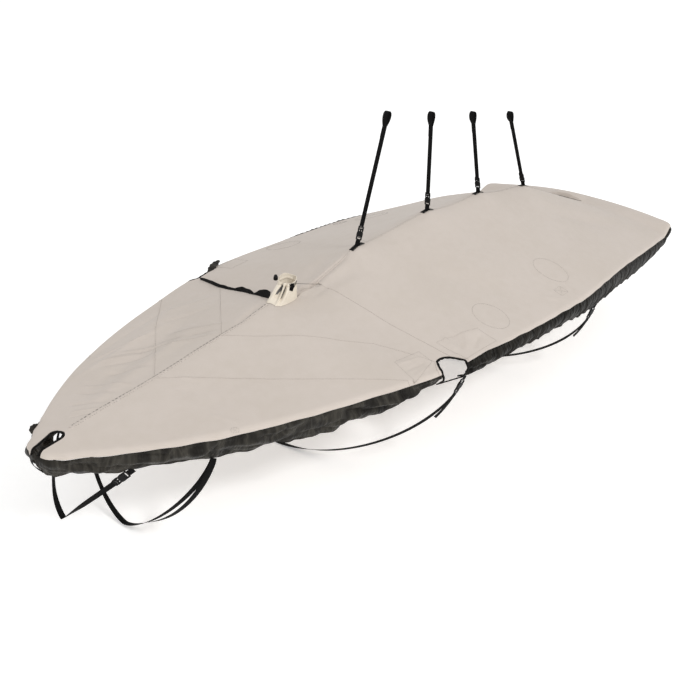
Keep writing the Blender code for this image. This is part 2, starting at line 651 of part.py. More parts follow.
def fore_panel(word, side):
    table, cutout = SEAM_C[word], CUTOUTS[word]
    ridge_x = np.linspace(SEAM_B[word][0] - SEAM_SHIFT, table[0], FORE_COLUMNS)
    edge = np.linspace(girth_at(SEAM_B_EDGE[word] - SEAM_SHIFT), girth_at(cutout.fore_x),
                       FORE_COLUMNS)
    fore = seam(SEAM_B[word], SEAM_B_EDGE[word], side, shift=-SEAM_SHIFT)
    aft = seam(table, cutout.fore_x, side, [cutout.fore_corner])
    return panel(f"panel_fore_{word}", side, ridge_x, edge, fore, aft)


def cutout_inner(word, count):
    """Plan points from a cutout's fore corner to its aft corner, bowed towards the centreline."""
    share = np.linspace(0, 1, count)[:, None]
    cutout = CUTOUTS[word]
    line = np.array(cutout.fore_corner) * (1 - share) + np.array(cutout.aft_corner) * share
    return line - CUTOUT_BOW_WAY * CUTOUT_BOWS[word] * 4 * share * (1 - share)


def mast_panel_port():
    hole_fore = MAST_HOLE_CENTRE + MAST_HOLE_HALF_LENGTH
    hole_aft = MAST_HOLE_CENTRE - MAST_HOLE_HALF_LENGTH
    table, cutout = SEAM_C["port"], CUTOUTS["port"]
    ridge_x = np.concatenate([
        spaced(np.array([table[0] - SEAM_SHIFT, hole_fore + HOLE_LEAD_FORE]), [MAST_LEAD_STEPS]),
        mast_hole_stations(hole_fore, hole_aft),
        np.linspace(hole_aft - HOLE_LEAD_AFT, SEAM_D[0] + SEAM_SHIFT, MAST_LEAD_STEPS)])
    fore = seam(table, cutout.fore_x, PORT, [cutout.fore_corner], shift=-SEAM_SHIFT)[:RIM_ROW + 1]
    aft = seam(SEAM_D, cutout.aft_x, PORT, [cutout.aft_corner], shift=SEAM_SHIFT)[:RIM_ROW + 1]
    ends = cutout_inner("port", len(ridge_x))
    return panel("panel_mast_port", PORT, ridge_x, ends, fore, aft, roll=False)


def mast_panel_starboard():
    """Triangle between seam c and the closure, which meet at the closure's knee."""
    hole_fore = MAST_HOLE_CENTRE + MAST_HOLE_HALF_LENGTH
    seam_x = SEAM_C["starboard"][0] - SEAM_SHIFT
    ridge_x = np.concatenate([
        spaced(np.array([seam_x, hole_fore + HOLE_LEAD_FORE]), [MAST_LEAD_STEPS]),
        mast_hole_stations(hole_fore, CLOSURE[0] + SEAM_SHIFT)])
    fore_start = np.array((seam_x, float(centre_gap(seam_x, STARBOARD))))
    fore_knee = np.array((CLOSURE[1] - SEAM_SHIFT, CLOSURE[2]))
    fore = through((0, KNEE_ROW), (fore_start, fore_start + (fore_knee - fore_start) * POINT_SHARE))
    shifted = np.array((SEAM_SHIFT, 0.0))
    bend, knee = np.array(CLOSURE_BEND) + shifted, np.array(CLOSURE[1:]) + shifted
    aft_x = CLOSURE[0] + SEAM_SHIFT
    aft_start = (aft_x, float(centre_gap(aft_x, STARBOARD)))
    aft = through((0, BEND_ROW, KNEE_ROW), (aft_start, bend, bend + (knee - bend) * POINT_SHARE))
    share = np.linspace(0, 1, len(ridge_x))[:, None]
    ends = fore[-1] * (1 - share) + aft[-1] * share
    return panel("panel_mast_starboard", STARBOARD, ridge_x, ends, fore, aft, roll=False)


def aft_panel(word, side):
    cutout = CUTOUTS[word]
    if side > 0:
        table, stops, bend = SEAM_D, [cutout.aft_corner], []
    else:
        table, stops, bend = CLOSURE, [cutout.fore_corner, cutout.aft_corner], [CLOSURE_BEND]
    fore = seam(table, cutout.aft_x, side, stops, bend, -SEAM_SHIFT)
    lead_from, hole = table[0] - SEAM_SHIFT, []
    if side < 0:
        hole_aft = MAST_HOLE_CENTRE - MAST_HOLE_HALF_LENGTH
        hole = mast_hole_stations(lead_from, hole_aft)
        lead_from = hole_aft - HOLE_LEAD_AFT
    lead = np.concatenate([hole, spaced(np.array([lead_from, LIFT_FEET[0]]), [AFT_LEAD_STEPS[word]])[:-1]])
    body = spaced(np.concatenate([LIFT_FEET, [QUARTER_FROM]]), BETWEEN_LIFTS)
    lead_girths = [girth_at(cutout.aft_x - SEAM_SHIFT), girth_at(LIFT_FEET[0])]
    edge_lead = np.linspace(*lead_girths, len(lead) + 1)[:-1]
    quarter = girth_at(QUARTER_FROM)
    edge_fan = np.concatenate([quarter + QUARTER_GIRTHS, transom_girths(TRANSOM_COLUMNS)])
    edge_fan[-1] -= SEWN_GAP / 2
    fan_to = QUARTER_FROM - FAN_LENGTH
    ridge_fan = np.linspace(QUARTER_FROM, fan_to, len(edge_fan) + 1)[1:]
    ridge_x = np.concatenate([lead, body, ridge_fan])
    edge = np.concatenate([edge_lead, girth_at(body), edge_fan])
    centre = SEWN_GAP / 2
    last = (edge_point(GIRTH, side)[0], centre)
    aft = through((0, EDGE_ROW), ((fan_to, centre), last))
    return panel(f"panel_aft_{word}", side, ridge_x, edge, fore, aft, hold=AFT_HOLD)


# ================================================================ skirts
def transom_girths(count):
    """Girths of the columns across the transom, from the quarter to the middle."""
    return np.linspace(girth_at(QUARTER_FROM) + QUARTER_END, GIRTH, count)


def skirt_grid(girths, side):
    """Outer points and normals of a skirt from the seam under the canvas to the hem."""
    girth = np.repeat(np.asarray(girths, float)[:, None], len(SKIRT_ROWS), axis=1)
    start = reach(girth, side) + SKIRT_SHIFT
    length = start + (hem(girth, side) - start) * SKIRT_ROWS
    return over_edge(girth, length, side), over_edge_normal(girth, length, side)


def even(stops, step):
    """Girths that pass every stop, evenly spaced between stops and about a step apart."""
    counts = np.maximum(1, np.round(np.diff(stops) / step).astype(int))
    return spaced(np.asarray(stops, float), counts)


def skirts():
    thick = np.where(SKIRT_ROWS >= SKIRT_ROWS[-2], HEM_THICK, NYLON)
    quarter = girth_at(QUARTER_FROM)
    turn = quarter + QUARTER_GIRTHS
    corner = turn[QUARTER_CORNER]
    for word, side in SIDES.items():
        first = slot_girth(side)
        nose = np.concatenate([[SEAM_SHIFT, first / 2], first + NOSE_GIRTHS[:-2]])
        fore_end = float(girth_at(CUTOUTS[word].fore_x))
        girths = np.concatenate([nose[:-1], even([nose[-1], fore_end], SKIRT_STEP_FORE)])
        sheet(f"skirt_fore_{word}", *skirt_grid(girths, side), thick, "nylon")
        aft_start = float(girth_at(CUTOUTS[word].aft_x))
        girths = even([aft_start, *turn[:QUARTER_CORNER + 1]], SKIRT_STEP_AFT)
        sheet(f"skirt_aft_{word}", *skirt_grid(girths, side), thick, "nylon")
    half = np.concatenate([[corner + SEAM_SHIFT], turn[QUARTER_CORNER + 1:],
                           transom_girths(TRANSOM_COLUMNS)])
    port, starboard = (skirt_grid(half, side) for side in (PORT, STARBOARD))
    middle = (port[0][-1:] + starboard[0][-1:]) / 2
    flat = unit(port[1][-1:] + starboard[1][-1:])
    outer = np.concatenate([port[0][:-1], middle, starboard[0][-2::-1]])
    normal = np.concatenate([port[1][:-1], flat, starboard[1][-2::-1]])
    sheet("skirt_transom", outer, normal, thick, "nylon")


def cut_slit(panels):
    """Lens-shaped slit across both aft panels, cut by one upright prism."""
    share = np.linspace(0, 1, SLIT_POINTS)
    y = SLIT_SPAN[0] + (SLIT_SPAN[1] - SLIT_SPAN[0]) * share
    half = SLIT_HALF * np.sin(math.pi * share) ** SLIT_POWER
    ring = ([(SLIT_X + h, v) for h, v in zip(half, y)]
            + [(SLIT_X - h, v) for h, v in zip(half[-2:0:-1], y[-2:0:-1])])
    size = len(ring)
    points = [(x, v, z) for z in SLIT_HEIGHTS for x, v in ring]
    faces = [tuple(range(size)), tuple(range(2 * size - 1, size - 1, -1))]
    faces += [(k, size + k, size + (k + 1) % size, (k + 1) % size) for k in range(size)]
    cutter = add_object("slit_cutter", points, faces, "canvas")
    cutter.hide_render = True
    cutter.display_type = "WIRE"
    for made in panels:
        cut = made.modifiers.new("slit", "BOOLEAN")
        cut.operation = "DIFFERENCE"
        cut.object = cutter


# ================================================================ what is laid on the canvas
class Canvas:
    """Heights of the finished canvas, read from the panels themselves."""

    def __init__(self, panels):
        self.trees = []
        for made in panels:
            mesh = made.data
            points = [vertex.co.copy() for vertex in mesh.vertices]
            self.trees.append(BVHTree.FromPolygons(points, [tuple(p.vertices) for p in mesh.polygons]))

    def height(self, x, y):
        """Highest canvas at a point and close round it."""
        found = []
        for step_x, step_y in FEEL_STEPS:
            for tree in self.trees:
                hit = tree.ray_cast(Vector((x + step_x, y + step_y, FEEL_FROM)), Vector((0, 0, -1)))[0]
                if hit is not None:
                    found.append(hit.z)
        return max(found)


# ================================================================ bindings
def bound_edge(name, outer, normal, inset, loop=False):
    """Binding beside a raw edge: outer points of the edge, moved to the middle of the cloth."""
    outer, normal = np.asarray(outer), np.asarray(normal)
    return ribbon(name, outer - normal * CANVAS / 2, normal, "nylon", BINDING_WIDTH, BINDING_THICK,
                  loop, inset)


def slot_binding():
    """Round the bow slot: up over the roll, aft along one side, round the end and forward again."""
    outer, normal = [], []
    for side in (PORT, STARBOARD):
        first = slot_girth(side)
        share = np.array([BINDING_STOP, 0.5])
        girths = np.full(len(share), first)
        length = reach(girths, side) * share
        over = over_edge(girths, length, side)
        over_normal = over_edge_normal(girths, length, side)
        turn_x = slot_stations()[1:-1]
        turn_y = centre_gap(turn_x, side)
        edge = slot_edge(side)[::-1]
        x = np.concatenate([edge[:, 0], turn_x])
        y = side * np.concatenate([edge[:, 1], turn_y])
        flat = np.stack([x, y, top(x, y)], axis=-1)
        points = np.concatenate([over, flat])
        normals = np.concatenate([over_normal, top_normal(x, y)])
        if side < 0:
            points, normals = points[::-1], normals[::-1]
            end = np.array([[SLOT_END, 0.0, float(top(SLOT_END, 0.0))]])
            outer.append(end)
            normal.append(np.array([[0.0, 0.0, 1.0]]))
        outer.append(points)
        normal.append(normals)
    bound_edge("binding_slot", np.concatenate(outer), np.concatenate(normal),
               -(BINDING_GAP + BINDING_WIDTH / 2))


def cutout_side(edge_x, corner, side):
    """Edge of a shroud cutout from its inner corner out over the gunwale and down to the hem."""
    girth = float(girth_at(edge_x))
    end = edge_point(girth, side)
    plan_points = np.array([corner, end])
    x, y = plan_points[:, 0], side * plan_points[:, 1]
    flat = np.stack([x, y, top(x, y)], axis=-1)
    seam_at = float(reach(girth, side))
    hem_at = float(hem(girth, side))
    length = np.concatenate([seam_at * np.array([0.5, 1.0]),
                             seam_at + (hem_at - seam_at) * np.array([BINDING_BRIDGE, 1.0])])
    girths = np.full(len(length), girth)
    points = np.concatenate([flat, over_edge(girths, length, side)])
    normals = np.concatenate([top_normal(x, y), over_edge_normal(girths, length, side)])
    return points, normals


def cutout_binding(word, side):
    """Closed ring round a shroud cutout; its lower run bridges the hem."""
    cutout = CUTOUTS[word]
    aft, aft_normal = cutout_side(cutout.aft_x, cutout.aft_corner, side)
    fore, fore_normal = cutout_side(cutout.fore_x, cutout.fore_corner, side)
    inner = cutout_inner(word, CUTOUT_STEPS)[1:-1]
    x, y = inner[:, 0], side * inner[:, 1]
    outer = np.concatenate([aft, fore[::-1], np.stack([x, y, top(x, y)], axis=-1)])
    normal = np.concatenate([aft_normal, fore_normal[::-1], top_normal(x, y)])
    bound_edge(f"binding_cutout_{word}", outer, normal, side * (BINDING_GAP + BINDING_WIDTH / 2), True)


def closure_flap(canvas):
    """Wavy hook-and-loop band that closes the slit from the mast to the starboard cutout."""
    table = np.array([(CLOSURE[0], 0.0), CLOSURE_BEND, CLOSURE[1:], CUTOUTS["starboard"].fore_corner])
    y = np.linspace(CLOSURE_FROM, CLOSURE_TO, CLOSURE_STEPS)
    x = np.interp(y, table[:, 1], table[:, 0])
    share = np.linspace(0, 1, CLOSURE_STEPS)
    tilt = CLOSURE_TILT + CLOSURE_SWING * np.sin(2 * math.pi * CLOSURE_WAVES * share)
    path, face = [], []
    for k in range(CLOSURE_STEPS):
        foot_x = x[k] + CLOSURE_FOOT * CLOSURE_WIDTH
        height = max(canvas.height(foot_x + feel, -y[k]) for feel in CLOSURE_FEEL)
        lift = LAID_GAP + WEBBING_THICK / 2
        run = np.array([-math.cos(tilt[k]), 0.0, math.sin(tilt[k])])
        path.append(np.array([foot_x, -y[k], height + lift]) + run * CLOSURE_WIDTH / 2)
        face.append((math.sin(tilt[k]), 0.0, math.cos(tilt[k])))
    return ribbon("closure_flap", path, face, "webbing", CLOSURE_WIDTH, WEBBING_THICK)


def stem_strip():
    """Strip down the front of the bow that draws the two sides of the slot together."""
    path, face = [], []
    start = float(reach(STEM_STRIP_GIRTH, STARBOARD)) + SEAM_SHIFT
    for share in SKIRT_ROWS[1:]:
        length = start + share * (float(hem(STEM_STRIP_GIRTH, STARBOARD)) - start)
        point = over_edge(np.array([STEM_STRIP_GIRTH]), np.array([length]), STARBOARD)[0]
        normal = over_edge_normal(np.array([STEM_STRIP_GIRTH]), np.array([length]), STARBOARD)[0]
        path.append(point + normal * (WEBBING_THICK / 2 + LAID_GAP))
        face.append(normal)
    return ribbon("stem_strip", path, face, "webbing", STEM_STRIP_WIDTH)


# ================================================================ mast collar
def collar_ring(share, grow=0.0):
    """Plan points of the collar at a share of its height; grow moves them outwards."""
    bearing = np.linspace(0, 2 * math.pi, COLLAR_POINTS, endpoint=False)
    ahead, beside = np.cos(bearing), np.sin(bearing)
    middle = (COLLAR_FRONT + COLLAR_BACK) / 2
    foot_x = middle + (COLLAR_FRONT - middle) * np.sign(ahead) * np.abs(ahead) ** COLLAR_SQUARE
    width = np.interp(foot_x, [COLLAR_BACK, COLLAR_FRONT], [COLLAR_HALF_BACK, COLLAR_HALF_FRONT])
    foot_y = width * np.sign(beside) * np.abs(beside) ** COLLAR_SQUARE
    head_x = COLLAR_TOP_CENTRE + COLLAR_TOP_RADIUS * ahead
    head_y = COLLAR_TOP_RADIUS * COLLAR_TOP_SQUASH * beside
    way = 1 - (1 - share) ** COLLAR_TAPER
    x, y = foot_x + (head_x - foot_x) * way, foot_y + (head_y - foot_y) * way
    out = np.stack([ahead, beside], axis=-1)
    fold = np.zeros(COLLAR_POINTS)
    level = math.sin(math.pi * (FOLD_FROM + (1 - FOLD_FROM) * share))
    for at, half, depth in COLLAR_FOLDS:
        away = (np.degrees(bearing) - at + 180) % 360 - 180
        fold += depth * np.exp(-(away / half) ** 2) * level
    return np.stack([x, y], axis=-1) + out * (fold + grow)[:, None]


def mast_collar(canvas):
    """Boot round the mast: an open sleeve from a square foot on the canvas to a round top."""
    levels = np.linspace(0, 1, COLLAR_ROWS)
    bearing = np.linspace(0, 2 * math.pi, COLLAR_POINTS, endpoint=False)
    foot = collar_ring(0.0)
    base = np.array([canvas.height(x, y) for x, y in foot]) + LAID_GAP
    inner_base = np.array([canvas.height(x, y) for x, y in collar_ring(0.0, -CANVAS)]) + LAID_GAP
    head = COLLAR_TOP_Z - COLLAR_TOP_TILT * np.cos(bearing - COLLAR_TOP_TURN)
    rings = []
    for grow, low in ((0.0, base), (-CANVAS, inner_base)):
        for level in levels:
            ring = collar_ring(level, grow)
            rings.append(np.column_stack([ring, low + (head - low) * level]))
    size, rows = COLLAR_POINTS, COLLAR_ROWS
    faces = []
    for k in range(size):
        n = (k + 1) % size
        for r in range(rows - 1):
            a, b = r * size, (r + 1) * size
            faces.append((a + k, a + n, b + n, b + k))
            c, d = (rows + r) * size, (rows + r + 1) * size
            faces.append((d + k, d + n, c + n, c + k))
        top_out, top_in = (rows - 1) * size, (2 * rows - 1) * size
        faces.append((top_out + k, top_out + n, top_in + n, top_in + k))
        faces.append((k, rows * size + k, rows * size + n, n))
    return add_object("mast_collar", np.concatenate(rings), faces, "canvas_collar")


def collar_point(bearing, share, off):
    """Point off the collar's outside at a bearing and a share of its height, and its normal."""
    grid = np.linspace(0, 2 * math.pi, COLLAR_POINTS, endpoint=False)
    ring = collar_ring(share, off)
    at = bearing % (2 * math.pi)
    x = np.interp(at, grid, ring[:, 0], period=2 * math.pi)
    y = np.interp(at, grid, ring[:, 1], period=2 * math.pi)
    return x, y, np.array([math.cos(bearing), math.sin(bearing), COLLAR_OUT_SLOPE])


def collar_fittings():
    """Webbing tab on the port side of the collar, and the cord lock near its top to starboard."""
    path, face = [], []
    drop = (1 - TAB_SHARES) / (1 - TAB_SHARES[-1]) * TAB_DROP
    for share, down in zip(TAB_SHARES, drop):
        x, y, normal = collar_point(TAB_BEARING, share, LAID_GAP + WEBBING_THICK / 2)
        path.append((x, y, COLLAR_TOP_Z - down))
        face.append(normal)
    ribbon("collar_tab", path, unit(np.array(face)), "webbing", TAB_WIDTH)
    x, y, _ = collar_point(LOCK_BEARING, 1.0, LOCK_OFF)
    barrel("collar_cord_lock", (x, y, COLLAR_TOP_Z - LOCK_DROP), LOCK_RADIUS, LOCK_HEIGHT, LOCK_SIDES)


def barrel(name, centre, radius, height, sides):
    """Upright toggle with narrowed ends."""
    points, faces = [], []
    for level, wide in LOCK_PROFILE:
        for k in range(sides):
            turn = 2 * math.pi * k / sides
            points.append((centre[0] + radius * wide * math.cos(turn),
                           centre[1] + radius * wide * math.sin(turn), centre[2] + level * height))
    rows = len(LOCK_PROFILE)
    for r in range(rows - 1):
        for k in range(sides):
            n = (k + 1) % sides
            faces.append((r * sides + k, r * sides + n, (r + 1) * sides + n, (r + 1) * sides + k))
    faces.append(tuple(range(sides - 1, -1, -1)))
    faces.append(tuple(range((rows - 1) * sides, rows * sides)))
    return add_object(name, points, faces, "plastic")


# ================================================================ buckles
def buckle(name, centre, along, face):
    """Side-release buckle: a waisted outline with rounded faces, thinner at both ends."""
    along, face = unit(np.asarray(along, float)), np.asarray(face, float)
    face = unit(face - np.dot(face, along) * along)
    across = np.cross(along, face)
    outline = list(BUCKLE_OUTLINE) + [(a, -w) for a, w in reversed(BUCKLE_OUTLINE)]
    points = []
    for level, long, wide in BUCKLE_LEVELS:
        for a, w in outline:
            thin = 1 - BUCKLE_THIN * max(0.0, abs(a) - BUCKLE_THIN_FROM) / (0.5 - BUCKLE_THIN_FROM)
            points.append(np.asarray(centre) + along * a * BUCKLE_LENGTH * long
                          + across * w * BUCKLE_WIDTH * wide + face * level * BUCKLE_THICK * thin)
    size = len(outline)
    faces = []
    for r in range(len(BUCKLE_LEVELS) - 1):
        for k in range(size):
            n = (k + 1) % size
            faces.append((r * size + k, r * size + n, (r + 1) * size + n, (r + 1) * size + k))
    half = size // 2
    for first, order in ((0, -1), (3 * size, 1)):
        for k in range(half - 1):
            quad = (first + k, first + k + 1, first + size - 2 - k, first + size - 1 - k)
            faces.append(quad[::order])
    return add_object(name, points, faces, "plastic")


# ================================================================ lift straps
def lift_strap(number, lift, canvas):
    """Foot sewn along the ridge, side-release buckle, and webbing up to a sewn loop."""
    word = f"lift_{number}"
    peak = np.array([lift.top_x, 0.0, lift.top_z])
    ends = [lift.foot_x - FOOT_LENGTH, lift.foot_x, lift.foot_x + FOOT_LENGTH]
    under = [canvas.height(x, 0.0) + LAID_GAP for x in ends]
    base = np.array([lift.foot_x, 0.0, under[1]])
    along = unit(peak - base)
    lean = np.array([along[2], 0.0, -along[0]])
    fore, aft = base + lean * NECK_HALF, base - lean * NECK_HALF
    neck = along * NECK_HEIGHT
    over = np.array([0.0, 0.0, WEBBING_THICK])
    tip_aft, tip_fore = np.array([ends[0], 0, under[0]]), np.array([ends[2], 0, under[2]])
    shoulder = FOOT_SHOULDER * WEBBING_THICK
    section = [tip_aft, base, tip_fore, tip_fore + over, fore + along * shoulder, fore + neck,
               aft + neck, aft + along * shoulder, tip_aft + over]
    half = ACROSS * WEBBING_WIDTH / 2
    size = len(section)
    points = [p - half for p in section] + [p + half for p in section]
    quads = ((0, 1, 7, 8), (1, 2, 3, 4), (1, 4, 7), (7, 4, 5, 6))
    faces = [tuple(q) for q in quads] + [tuple(size + k for k in reversed(q)) for q in quads]
    faces += [(k, size + k, size + (k + 1) % size, (k + 1) % size) for k in range(size)]
    add_object(f"{word}_foot", points, faces, "webbing")
    lower = base + neck + along * SEWN_GAP
    buckle(f"{word}_buckle", lower + along * BUCKLE_LENGTH / 2, along, lean)
    start = lower + along * (BUCKLE_LENGTH + SEWN_GAP)
    length = np.linalg.norm(peak - start) - LOOP_HEIGHT
    turn = np.linspace(0, 1, LOOP_STEPS)
    double = WEBBING_THICK + LOOP_DOUBLE
    up = np.concatenate([[0.0, length * 0.5, length - LOOP_TAIL],
                         length + LOOP_HEIGHT * (1 - np.cos(2 * math.pi * turn)) / 2,
                         [length - LOOP_TAIL]])
    over_way = np.concatenate([[0.0, 0.0, 0.0],
                               -LOOP_WIDTH / 2 * np.sin(2 * math.pi * turn) * np.sin(math.pi * turn)
                               * LOOP_FULLNESS + double * turn, [double]])
    path = start + up[:, None] * along + over_way[:, None] * lean
    ahead = np.vstack([path[1:], 2 * path[-1] - path[-2]]) - path
    behind = path - np.vstack([2 * path[0] - path[1], path[:-1]])
    face = np.cross(unit(unit(ahead) + unit(behind)), ACROSS)
    ribbon(f"{word}_strap", path, face, "webbing")


# ================================================================ straps under the hull
def under_hem(girths, side, line):
    """Height, at the middle girth, of the highest edge along a line that clears the hem."""
    hems = over_edge(girths, hem(girths, side), side)
    level = hems[:, 2] - (hems - hems[len(hems) // 2]) @ line * line[2]
    return level.min() - STRAP_DROP


def hull_strap(word, strap):
    """Tab, buckle and webbing that run from hem to hem under the hull."""
    nearby = float(girth_at(strap.hem_x)) + np.linspace(-0.5, 0.5, 5) * WEBBING_WIDTH
    hems = over_edge(nearby, hem(nearby, PORT), PORT)
    skin = unit(hems[0] - hems[-1])
    normal = over_edge_normal(nearby[2:3], hem(nearby[2:3], PORT), PORT)[0]
    start = hems[2] - normal * STRAP_INSET
    start[2] = under_hem(nearby, PORT, skin)
    lower = start[2] - under_hem(nearby, STARBOARD, skin * FLIP)
    angle = np.linspace(math.pi / 2, -math.pi / 2, STRAP_FINE_STEPS)
    power = 2 / strap.fullness
    y = start[1] * np.sign(np.sin(angle)) * np.abs(np.sin(angle)) ** power
    z = start[2] - (start[2] - strap.keel_z) * np.abs(np.cos(angle)) ** power
    z = z - lower * (1 - y / start[1]) / 2
    girth = np.concatenate([[0.0], np.cumsum(np.hypot(np.diff(y), np.diff(z)))])
    x = start[0] + (strap.keel_x - start[0]) * np.sin(math.pi * girth / girth[-1])
    fine = np.stack([x, y, z], axis=-1)
    run = np.concatenate([[0.0], np.cumsum(np.linalg.norm(np.diff(fine, axis=0), axis=1))])

    def at(distance):
        return np.stack([np.interp(distance, run, fine[:, k]) for k in range(3)], axis=-1)

    def faces_at(path):
        """Outward normals that let the band lie flat on the hull's side and on its keel."""
        way = unit(np.gradient(path, axis=0))
        side = np.clip(path[:, 1:2] / start[1], -1.0, 1.0)
        lie = ease(np.abs(side) / STRAP_LIE)
        width = unit(np.array([1.0, 0.0, 0.0]) * (1 - lie) + lie * np.column_stack(
            [np.full(len(path), skin[0]), skin[1] * np.sign(side[:, 0]), np.zeros(len(path))]))
        return np.cross(width, way)

    past = strap.tab + BUCKLE_LENGTH + 2 * STRAP_DROP if strap.tab else 0.0
    along = unit(at(past + STRAP_LEAD) - start)
    if strap.tab:
        pair = np.array([start, start + along * strap.tab])
        face = faces_at(pair)
        ribbon(f"strap_{word}_tab", pair, face, "webbing", ends=(skin, None))
        buckle(f"strap_{word}_buckle", start + along * (past + strap.tab) / 2, along, face[0])
    far = start + along * past
    lead = far + along * STRAP_LEAD
    path = np.vstack([far, lead, at(np.linspace(past + 3 * STRAP_LEAD, run[-1], STRAP_STEPS))])
    first_edge = None if strap.tab else skin
    ribbon(f"strap_{word}", path, faces_at(path), "webbing", ends=(first_edge, skin * FLIP))
    if strap.tail:
        share = np.linspace(0, 1, TAIL_STEPS)[:, None]
        steps = np.linspace(3 * STRAP_LEAD, strap.tail, TAIL_STEPS - 2)
        tail_path = np.vstack([far, lead, at(past + steps)])
        normal = faces_at(tail_path)
        off = WEBBING_THICK + TAIL_GAP + strap.tail_end * share + strap.tail_sag * np.sin(math.pi * share)
        ribbon(f"strap_{word}_tail", tail_path + normal * off, normal, "webbing", ends=(first_edge, None))


def build():
    for old in list(bpy.data.objects):
        bpy.data.objects.remove(old, do_unlink=True)
    panels, aft_panels = [], []
    for word, side in SIDES.items():
        panels.append(bow_panel(word, side))
        panels.append(fore_panel(word, side))
        aft_panels.append(aft_panel(word, side))
    panels.append(mast_panel_port())
    panels.append(mast_panel_starboard())
    canvas = Canvas(panels + aft_panels)
    cut_slit(aft_panels)
    skirts()
    slot_binding()
    for word, side in SIDES.items():
        cutout_binding(word, side)
    closure_flap(canvas)
    stem_strip()
    mast_collar(canvas)
    collar_fittings()
    for number, lift in enumerate(LIFTS, start=1):
        lift_strap(number, lift, canvas)
    for word, strap in HULL_STRAPS.items():
        hull_strap(word, strap)


build()
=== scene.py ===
"""Looks of a fitted mooring cover for a small sailing dinghy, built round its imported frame.

Metres, +Z up, +X towards the bow, +Y to port; the origin is amidships at the height of the gunwale.
Every surface is worked out from the cover's own sizes: the plan of the gunwale, the height of the
ridge, the seams between the panels and the depth of the skirt.  Each piece is a grid of points, a
band carried along a path or a ring of them, put into its mesh in one go.
"""
import math

import bpy
import numpy as np
from bpy.props import FloatProperty, FloatVectorProperty, IntProperty, PointerProperty
from bpy.types import Operator, Panel, PropertyGroup
from bpy.utils import register_class, unregister_class
from mathutils import Matrix, Vector


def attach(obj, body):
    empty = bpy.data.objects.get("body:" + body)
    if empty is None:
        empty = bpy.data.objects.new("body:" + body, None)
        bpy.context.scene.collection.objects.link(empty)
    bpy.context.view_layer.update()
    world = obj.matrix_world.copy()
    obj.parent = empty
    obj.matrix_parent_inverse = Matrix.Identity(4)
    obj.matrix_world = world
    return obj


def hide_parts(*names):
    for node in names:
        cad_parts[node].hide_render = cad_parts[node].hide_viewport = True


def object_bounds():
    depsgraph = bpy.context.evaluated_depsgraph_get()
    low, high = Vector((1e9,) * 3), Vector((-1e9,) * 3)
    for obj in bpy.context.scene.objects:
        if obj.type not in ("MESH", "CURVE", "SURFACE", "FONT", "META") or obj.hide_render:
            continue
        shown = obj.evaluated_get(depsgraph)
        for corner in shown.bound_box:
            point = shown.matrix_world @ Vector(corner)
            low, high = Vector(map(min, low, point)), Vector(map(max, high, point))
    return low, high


bl_info = {
    "name": "Dinghy Cover",
    "version": (1, 0, 0),
    "blender": (4, 5, 0),
    "location": "View3D > Sidebar > Dinghy Cover",
    "description": "Builds the cloth, webbing, buckles and stage of a fitted dinghy cover",
    "category": "Object",
}

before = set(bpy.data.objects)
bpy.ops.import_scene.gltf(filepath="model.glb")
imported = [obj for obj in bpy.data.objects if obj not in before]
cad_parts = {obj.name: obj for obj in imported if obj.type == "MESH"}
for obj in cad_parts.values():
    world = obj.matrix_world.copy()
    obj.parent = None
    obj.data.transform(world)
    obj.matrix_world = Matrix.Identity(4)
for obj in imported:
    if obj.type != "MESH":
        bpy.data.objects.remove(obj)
CAD_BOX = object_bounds()

# ---------------------------------------------------------------- the gunwale under the cover
# Sheer line: its slant, its curve and the curve's level, and the lift over the transom.
HALF_LENGTH = 2.1
SHEER_TRIM, SHEER_CROWN, SHEER_LEVEL = 0.005, 0.046, 0.35
STERN_LIFT, STERN_LIFT_FROM, STERN_LIFT_RUN = 0.046, -1.97, 0.11
STARBOARD_SINK = 0.03
LEAST_BREADTH = 0.06
# Roll over the gunwale: its radius, the run that its slope is taken on, least and most slope.
ROLL_RADIUS, ROLL_LEAD, ROLL_SLOPES = 0.024, 0.02, (0.02, 0.7)
# How round the ridge of the tent is, and how hollow its slopes are.
RIDGE_ROUND, RIDGE_HOLLOW = 0.03, 0.12

# Plan of the gunwale on the port side, from the stem round to the middle of the transom.
# Columns: x, y.
GUNWALE = np.array([
    (2.115, 0.0), (2.112, 0.029), (2.1, 0.056), (2.075, 0.082), (2.0, 0.147),
    (1.85, 0.265), (1.65, 0.391), (1.45, 0.487), (1.2, 0.584), (1.0, 0.648),
    (0.75, 0.726), (0.5, 0.781), (0.25, 0.801), (0.0, 0.806), (-0.3, 0.813),
    (-0.6, 0.813), (-0.9, 0.785), (-1.2, 0.75), (-1.5, 0.725), (-1.75, 0.704),
    (-1.95, 0.682), (-2.075, 0.668), (-2.107, 0.66), (-2.122, 0.636), (-2.125, 0.56),
    (-2.127, 0.3), (-2.128, 0.0)])

# Height of the cover along the centreline, without the peaks under the lift straps.
# Columns: x, z.
RIDGE_X, RIDGE_Z = np.array([
    (-2.128, 0.058), (-2.03, 0.062), (-1.95, 0.06), (-1.8, 0.108), (-1.562, 0.19),
    (-1.331, 0.243), (-1.034, 0.288), (-0.81, 0.304), (-0.579, 0.308), (-0.308, 0.311),
    (-0.124, 0.308), (0.036, 0.294), (0.275, 0.264), (0.42, 0.236), (0.573, 0.194),
    (0.69, 0.172), (0.79, 0.169), (0.915, 0.17), (1.05, 0.14), (1.183, 0.118),
    (1.552, 0.058), (1.771, 0.03), (1.934, 0.007), (2.115, -0.016)]).T

# Roof section: a straight tent amidships, a round crown at the transom.
CROWN_FROM, CROWN_RUN, CROWN_POWER = -1.45, 0.55, 2.2

